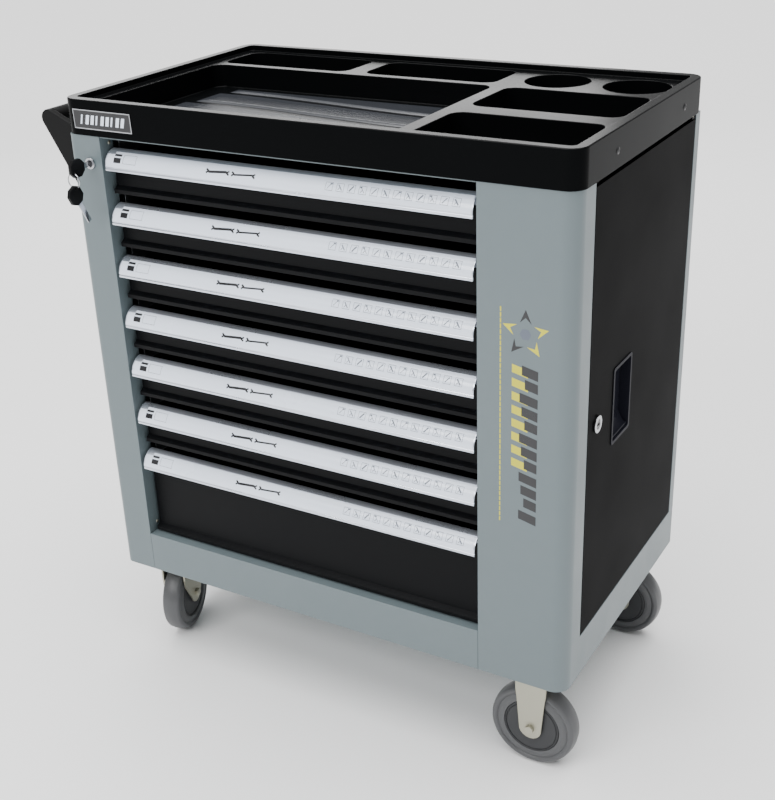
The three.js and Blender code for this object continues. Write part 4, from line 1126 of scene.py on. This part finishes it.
class TOOLCHEST_OT_trim(ChestOperator, bpy.types.Operator):
    """Rivets, name plate and the stripes on the right column"""

    bl_idname = "toolchest.trim"
    bl_label = "Trim and Graphics"

    def build(self, sizes, look):
        self.rivets(sizes, look)
        self.name_plate(look)
        self.stripes(look)

    def rivets(self, sizes, look):
        """Rivets on the inner returns of both front columns and along the back."""
        points = []
        top = BODY_BASE + 0.679
        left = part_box("left_side_shell")[1][0]
        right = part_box("right_side_shell")[0][0]
        depth = BODY_FRONT + 0.019
        for z in (top - 0.012, top - 0.335, BODY_BASE + 0.076):
            points.append((Vector((left - 0.0002, depth, z)), (1, 0, 0)))
            points.append((Vector((right + 0.0002, depth, z)), (-1, 0, 0)))
        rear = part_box("left_side_shell")[1][1]
        for x in (BODY_LEFT + 0.009, BODY_RIGHT - 0.009):
            for k in range(6):
                points.append((Vector((x, rear - 0.0002, BODY_BASE + 0.05 + k * 0.115)), (0, 1, 0)))
        fasteners("look_rivets", "rivet", points, sizes.rivet, 0.0013, look["zinc"], "cabinet")

    def name_plate(self, look):
        """A blank plate: bright frame, black field and three slanted bars."""
        low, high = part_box("name_plate")
        plate = copy_node("name_plate", "look_name_plate")
        round_edges(plate, 0.0002)
        place(plate, look["chrome"], "cabinet", slot_of("name_plate"), "name_plate")
        edge, lift = 0.0014, 0.00012
        y = low[1] - lift
        bm = bmesh.new()
        extruded(bm, [(low[0] + edge + 0.0006, low[2] + edge), (high[0] - edge, low[2] + edge),
                      (high[0] - edge - 0.0006, high[2] - edge), (low[0] + edge, high[2] - edge)],
                 along_y, y, low[1] + 0.0004)
        field = mesh_object("look_name_field", bm)
        place(field, look["ink"], "cabinet", slot_of("top_tray"))
        bm = bmesh.new()
        middle = (low[2] + high[2]) / 2
        tall = (high[2] - low[2]) * 0.24
        start = low[0] + 0.012
        for k in range(9):
            x = start + k * 0.0086
            wide = 0.0052 if k % 3 else 0.0026
            extruded(bm, [(x, middle - tall), (x + wide, middle - tall), (x + wide + 0.003, middle + tall),
                          (x + 0.003, middle + tall)], along_y, y - 0.0001, y + 0.0001)
        bars = mesh_object("look_name_bars", bm)
        place(bars, look["label"], "cabinet", slot_of("name_plate"))

    def stripes(self, look):
        """Plain graphics of the right column: a dashed line, a ring of chevrons and slanted blocks."""
        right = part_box("right_side_shell")[1][0]
        lift = BODY_FRONT - 0.0001
        back = BODY_FRONT + 0.0003
        x_line = right - 0.095
        top, foot = BODY_BASE + 0.534, BODY_BASE + 0.243
        yellow, black, grey = bmesh.new(), bmesh.new(), bmesh.new()
        dash = (top - foot) / 40
        for k in range(40):
            z = foot + k * dash
            extruded(yellow, [(x_line, z), (x_line + 0.0016, z), (x_line + 0.0016, z + dash * 0.8),
                              (x_line, z + dash * 0.8)], along_y, lift, back)
        column, wide = right - 0.079, 0.034
        z, lean = top - 0.072, 0.008
        pitch = (z - foot - 0.004) / 12
        for k in range(12):
            dark = (0.38, 0.5, 0.3)[k % 3]
            for bm, part0, part1, tall in ((yellow, 0.0, 0.62, 0.6), (black, dark, 1.0, 0.7)):
                if bm is black or k < 8:
                    extruded(bm, self.block(column + wide * part0, column + wide * part1, z, pitch * tall,
                                            lean * (part1 - part0)), along_y, lift - 0.00006 * (bm is black),
                             back)
            z -= pitch
        centre = (column + wide * 0.5, top - 0.032)
        for k in range(5):
            self.mark(yellow if k % 2 == 0 else black, centre, math.radians(72 * k + 18), lift, back)
        extruded(grey, [(centre[0] + 0.0075 * math.cos(math.radians(60 * k)),
                         centre[1] + 0.0075 * math.sin(math.radians(60 * k))) for k in range(6)],
                 along_y, lift, back)
        for name, bm, finish in (("look_stripe_yellow", yellow, look["yellow"]),
                                 ("look_stripe_black", black, look["ink"]),
                                 ("look_stripe_grey", grey, look["print"])):
            obj = mesh_object(name, bm)
            place(obj, finish, "cabinet", slot_of("right_side_shell"))

    def block(self, x0, x1, z, tall, lean):
        """A slanted bar between x0 and x1, hanging from z."""
        return [(x0, z - tall), (x1, z - tall - lean), (x1, z - lean), (x0, z)]

    def mark(self, bm, centre, way, lift, back):
        """A chevron that points away from the centre of the mark."""
        reach, arm, wide = 0.031, 0.017, 0.0075
        points = []
        for along, across in ((reach, 0), (reach - arm, wide), (reach - arm * 0.6, 0), (reach - arm, -wide)):
            points.append((centre[0] + along * math.cos(way) - across * math.sin(way),
                           centre[1] + along * math.sin(way) + across * math.cos(way)))
        extruded(bm, points, along_y, lift, back)


class TOOLCHEST_OT_stage(bpy.types.Operator):
    """Pale floor, studio lights and the camera"""

    bl_idname = "toolchest.stage"
    bl_label = "Stage"
    bl_options = {"REGISTER", "UNDO"}

    # The camera from the cabinet's centre on the floor, in metres, and its angles in degrees.
    CAMERA_FROM_CENTRE = (0.8686, -1.4861, 1.2276)
    YAW, PITCH, ROLL = -30.598, -25.183, -2.120
    LENS = 57.407
    AMBIENT = 0.4
    OVERHEAD = 4.6

    def execute(self, context):
        self.floor()
        self.camera(context)
        self.lights(context)
        return {"FINISHED"}

    def floor(self):
        bm = bmesh.new()
        size = 30.0
        corners = [bm.verts.new((x * size, y * size, 0)) for x, y in ((-1, -1), (1, -1), (1, 1), (-1, 1))]
        bm.faces.new(corners)
        floor = mesh_object("stage_floor", bm)
        material = bpy.data.materials.new("Stage Floor")
        material.use_nodes = True
        shader = material.node_tree.nodes["Principled BSDF"]
        shader.inputs["Base Color"].default_value = (0.95, 0.95, 0.95, 1)
        shader.inputs["Roughness"].default_value = 0.75
        floor.data.materials.append(material)

    def camera(self, context):
        yaw, pitch, roll = (math.radians(a) for a in (self.YAW, self.PITCH, self.ROLL))
        forward = Vector((math.sin(yaw) * math.cos(pitch), math.cos(yaw) * math.cos(pitch), math.sin(pitch)))
        right = Vector((math.cos(yaw), -math.sin(yaw), 0))
        up = right.cross(forward)
        turned_right = right * math.cos(roll) + up * math.sin(roll)
        turned_up = up * math.cos(roll) - right * math.sin(roll)
        data = bpy.data.cameras.new("Camera")
        data.lens = self.LENS
        data.sensor_width = 36.0
        data.clip_start = 0.01
        camera = bpy.data.objects.new("Camera", data)
        context.scene.collection.objects.link(camera)
        spin = Matrix((turned_right, turned_up, -forward)).transposed().to_4x4()
        camera.matrix_world = Matrix.Translation(CENTRE + Vector(self.CAMERA_FROM_CENTRE)) @ spin
        context.scene.camera = camera

    def light(self, context, name, at, aim, size, energy, colour=(1, 1, 1)):
        data = bpy.data.lights.new(name, "AREA")
        data.shape = "RECTANGLE"
        data.size, data.size_y = size
        data.energy = energy
        data.color = colour
        lamp = bpy.data.objects.new(name, data)
        context.scene.collection.objects.link(lamp)
        way = Vector(aim) - Vector(at)
        lamp.matrix_world = Matrix.Translation(Vector(at)) @ way.to_track_quat("-Z", "Y").to_matrix().to_4x4()

    def overhead(self, context):
        data = bpy.data.lights.new("overhead", "SUN")
        data.energy = self.OVERHEAD
        data.angle = math.radians(70)
        lamp = bpy.data.objects.new("overhead", data)
        context.scene.collection.objects.link(lamp)

    def lights(self, context):
        world = bpy.data.worlds.new("Studio")
        world.use_nodes = True
        tree = world.node_tree
        lighting = tree.nodes["Background"]
        lighting.inputs["Color"].default_value = (1, 1, 1, 1)
        lighting.inputs["Strength"].default_value = self.AMBIENT
        backdrop, path, mix = (tree.nodes.new("ShaderNodeBackground"), tree.nodes.new("ShaderNodeLightPath"),
                               tree.nodes.new("ShaderNodeMixShader"))
        backdrop.inputs["Strength"].default_value = 1.15
        link(tree, path.outputs["Is Camera Ray"], mix.inputs[0])
        link(tree, lighting.outputs[0], mix.inputs[1])
        link(tree, backdrop.outputs[0], mix.inputs[2])
        link(tree, mix.outputs[0], tree.nodes["World Output"].inputs["Surface"])
        context.scene.world = world
        middle = (0, 0, 0.5)
        self.light(context, "key_box", (-0.6, -3.0, 2.6), middle, (2.2, 1.2), 85)
        self.overhead(context)
        self.light(context, "rear_box", (-1.75, 2.6, 1.5), (0, 0, 0.8), (2.2, 1.0), 16)
        self.light(context, "right_fill", (2.8, -0.9, 1.4), middle, (0.9, 1.2), 2)


BUILDERS = (TOOLCHEST_OT_cabinet, TOOLCHEST_OT_tray, TOOLCHEST_OT_drawers, TOOLCHEST_OT_door,
            TOOLCHEST_OT_locks, TOOLCHEST_OT_handle, TOOLCHEST_OT_casters, TOOLCHEST_OT_trim,
            TOOLCHEST_OT_stage)


class TOOLCHEST_PT_builders(bpy.types.Panel):
    """Buttons for every group of pieces, with the settings below them"""

    bl_idname = "TOOLCHEST_PT_builders"
    bl_label = "Tool Chest"
    bl_space_type = "VIEW_3D"
    bl_region_type = "UI"
    bl_category = "Tool Chest"

    def draw(self, context):
        column = self.layout.column(align=True)
        for builder in BUILDERS:
            column.operator(builder.bl_idname)
        for settings in (context.scene.chest_sizes, context.scene.chest_finishes):
            column.separator()
            for name in settings.__annotations__:
                column.prop(settings, name)


CLASSES = (ChestFinishes, ChestSizes, *BUILDERS, TOOLCHEST_PT_builders)


def register():
    for cls in CLASSES:
        bpy.utils.register_class(cls)
    bpy.types.Scene.chest_finishes = bpy.props.PointerProperty(type=ChestFinishes)
    bpy.types.Scene.chest_sizes = bpy.props.PointerProperty(type=ChestSizes)


def unregister():
    del bpy.types.Scene.chest_finishes
    del bpy.types.Scene.chest_sizes
    for cls in reversed(CLASSES):
        bpy.utils.unregister_class(cls)


def main():
    register()
    for builder in BUILDERS:
        group, name = builder.bl_idname.split(".")
        getattr(getattr(bpy.ops, group), name)()


if __name__ == "__main__":
    main()
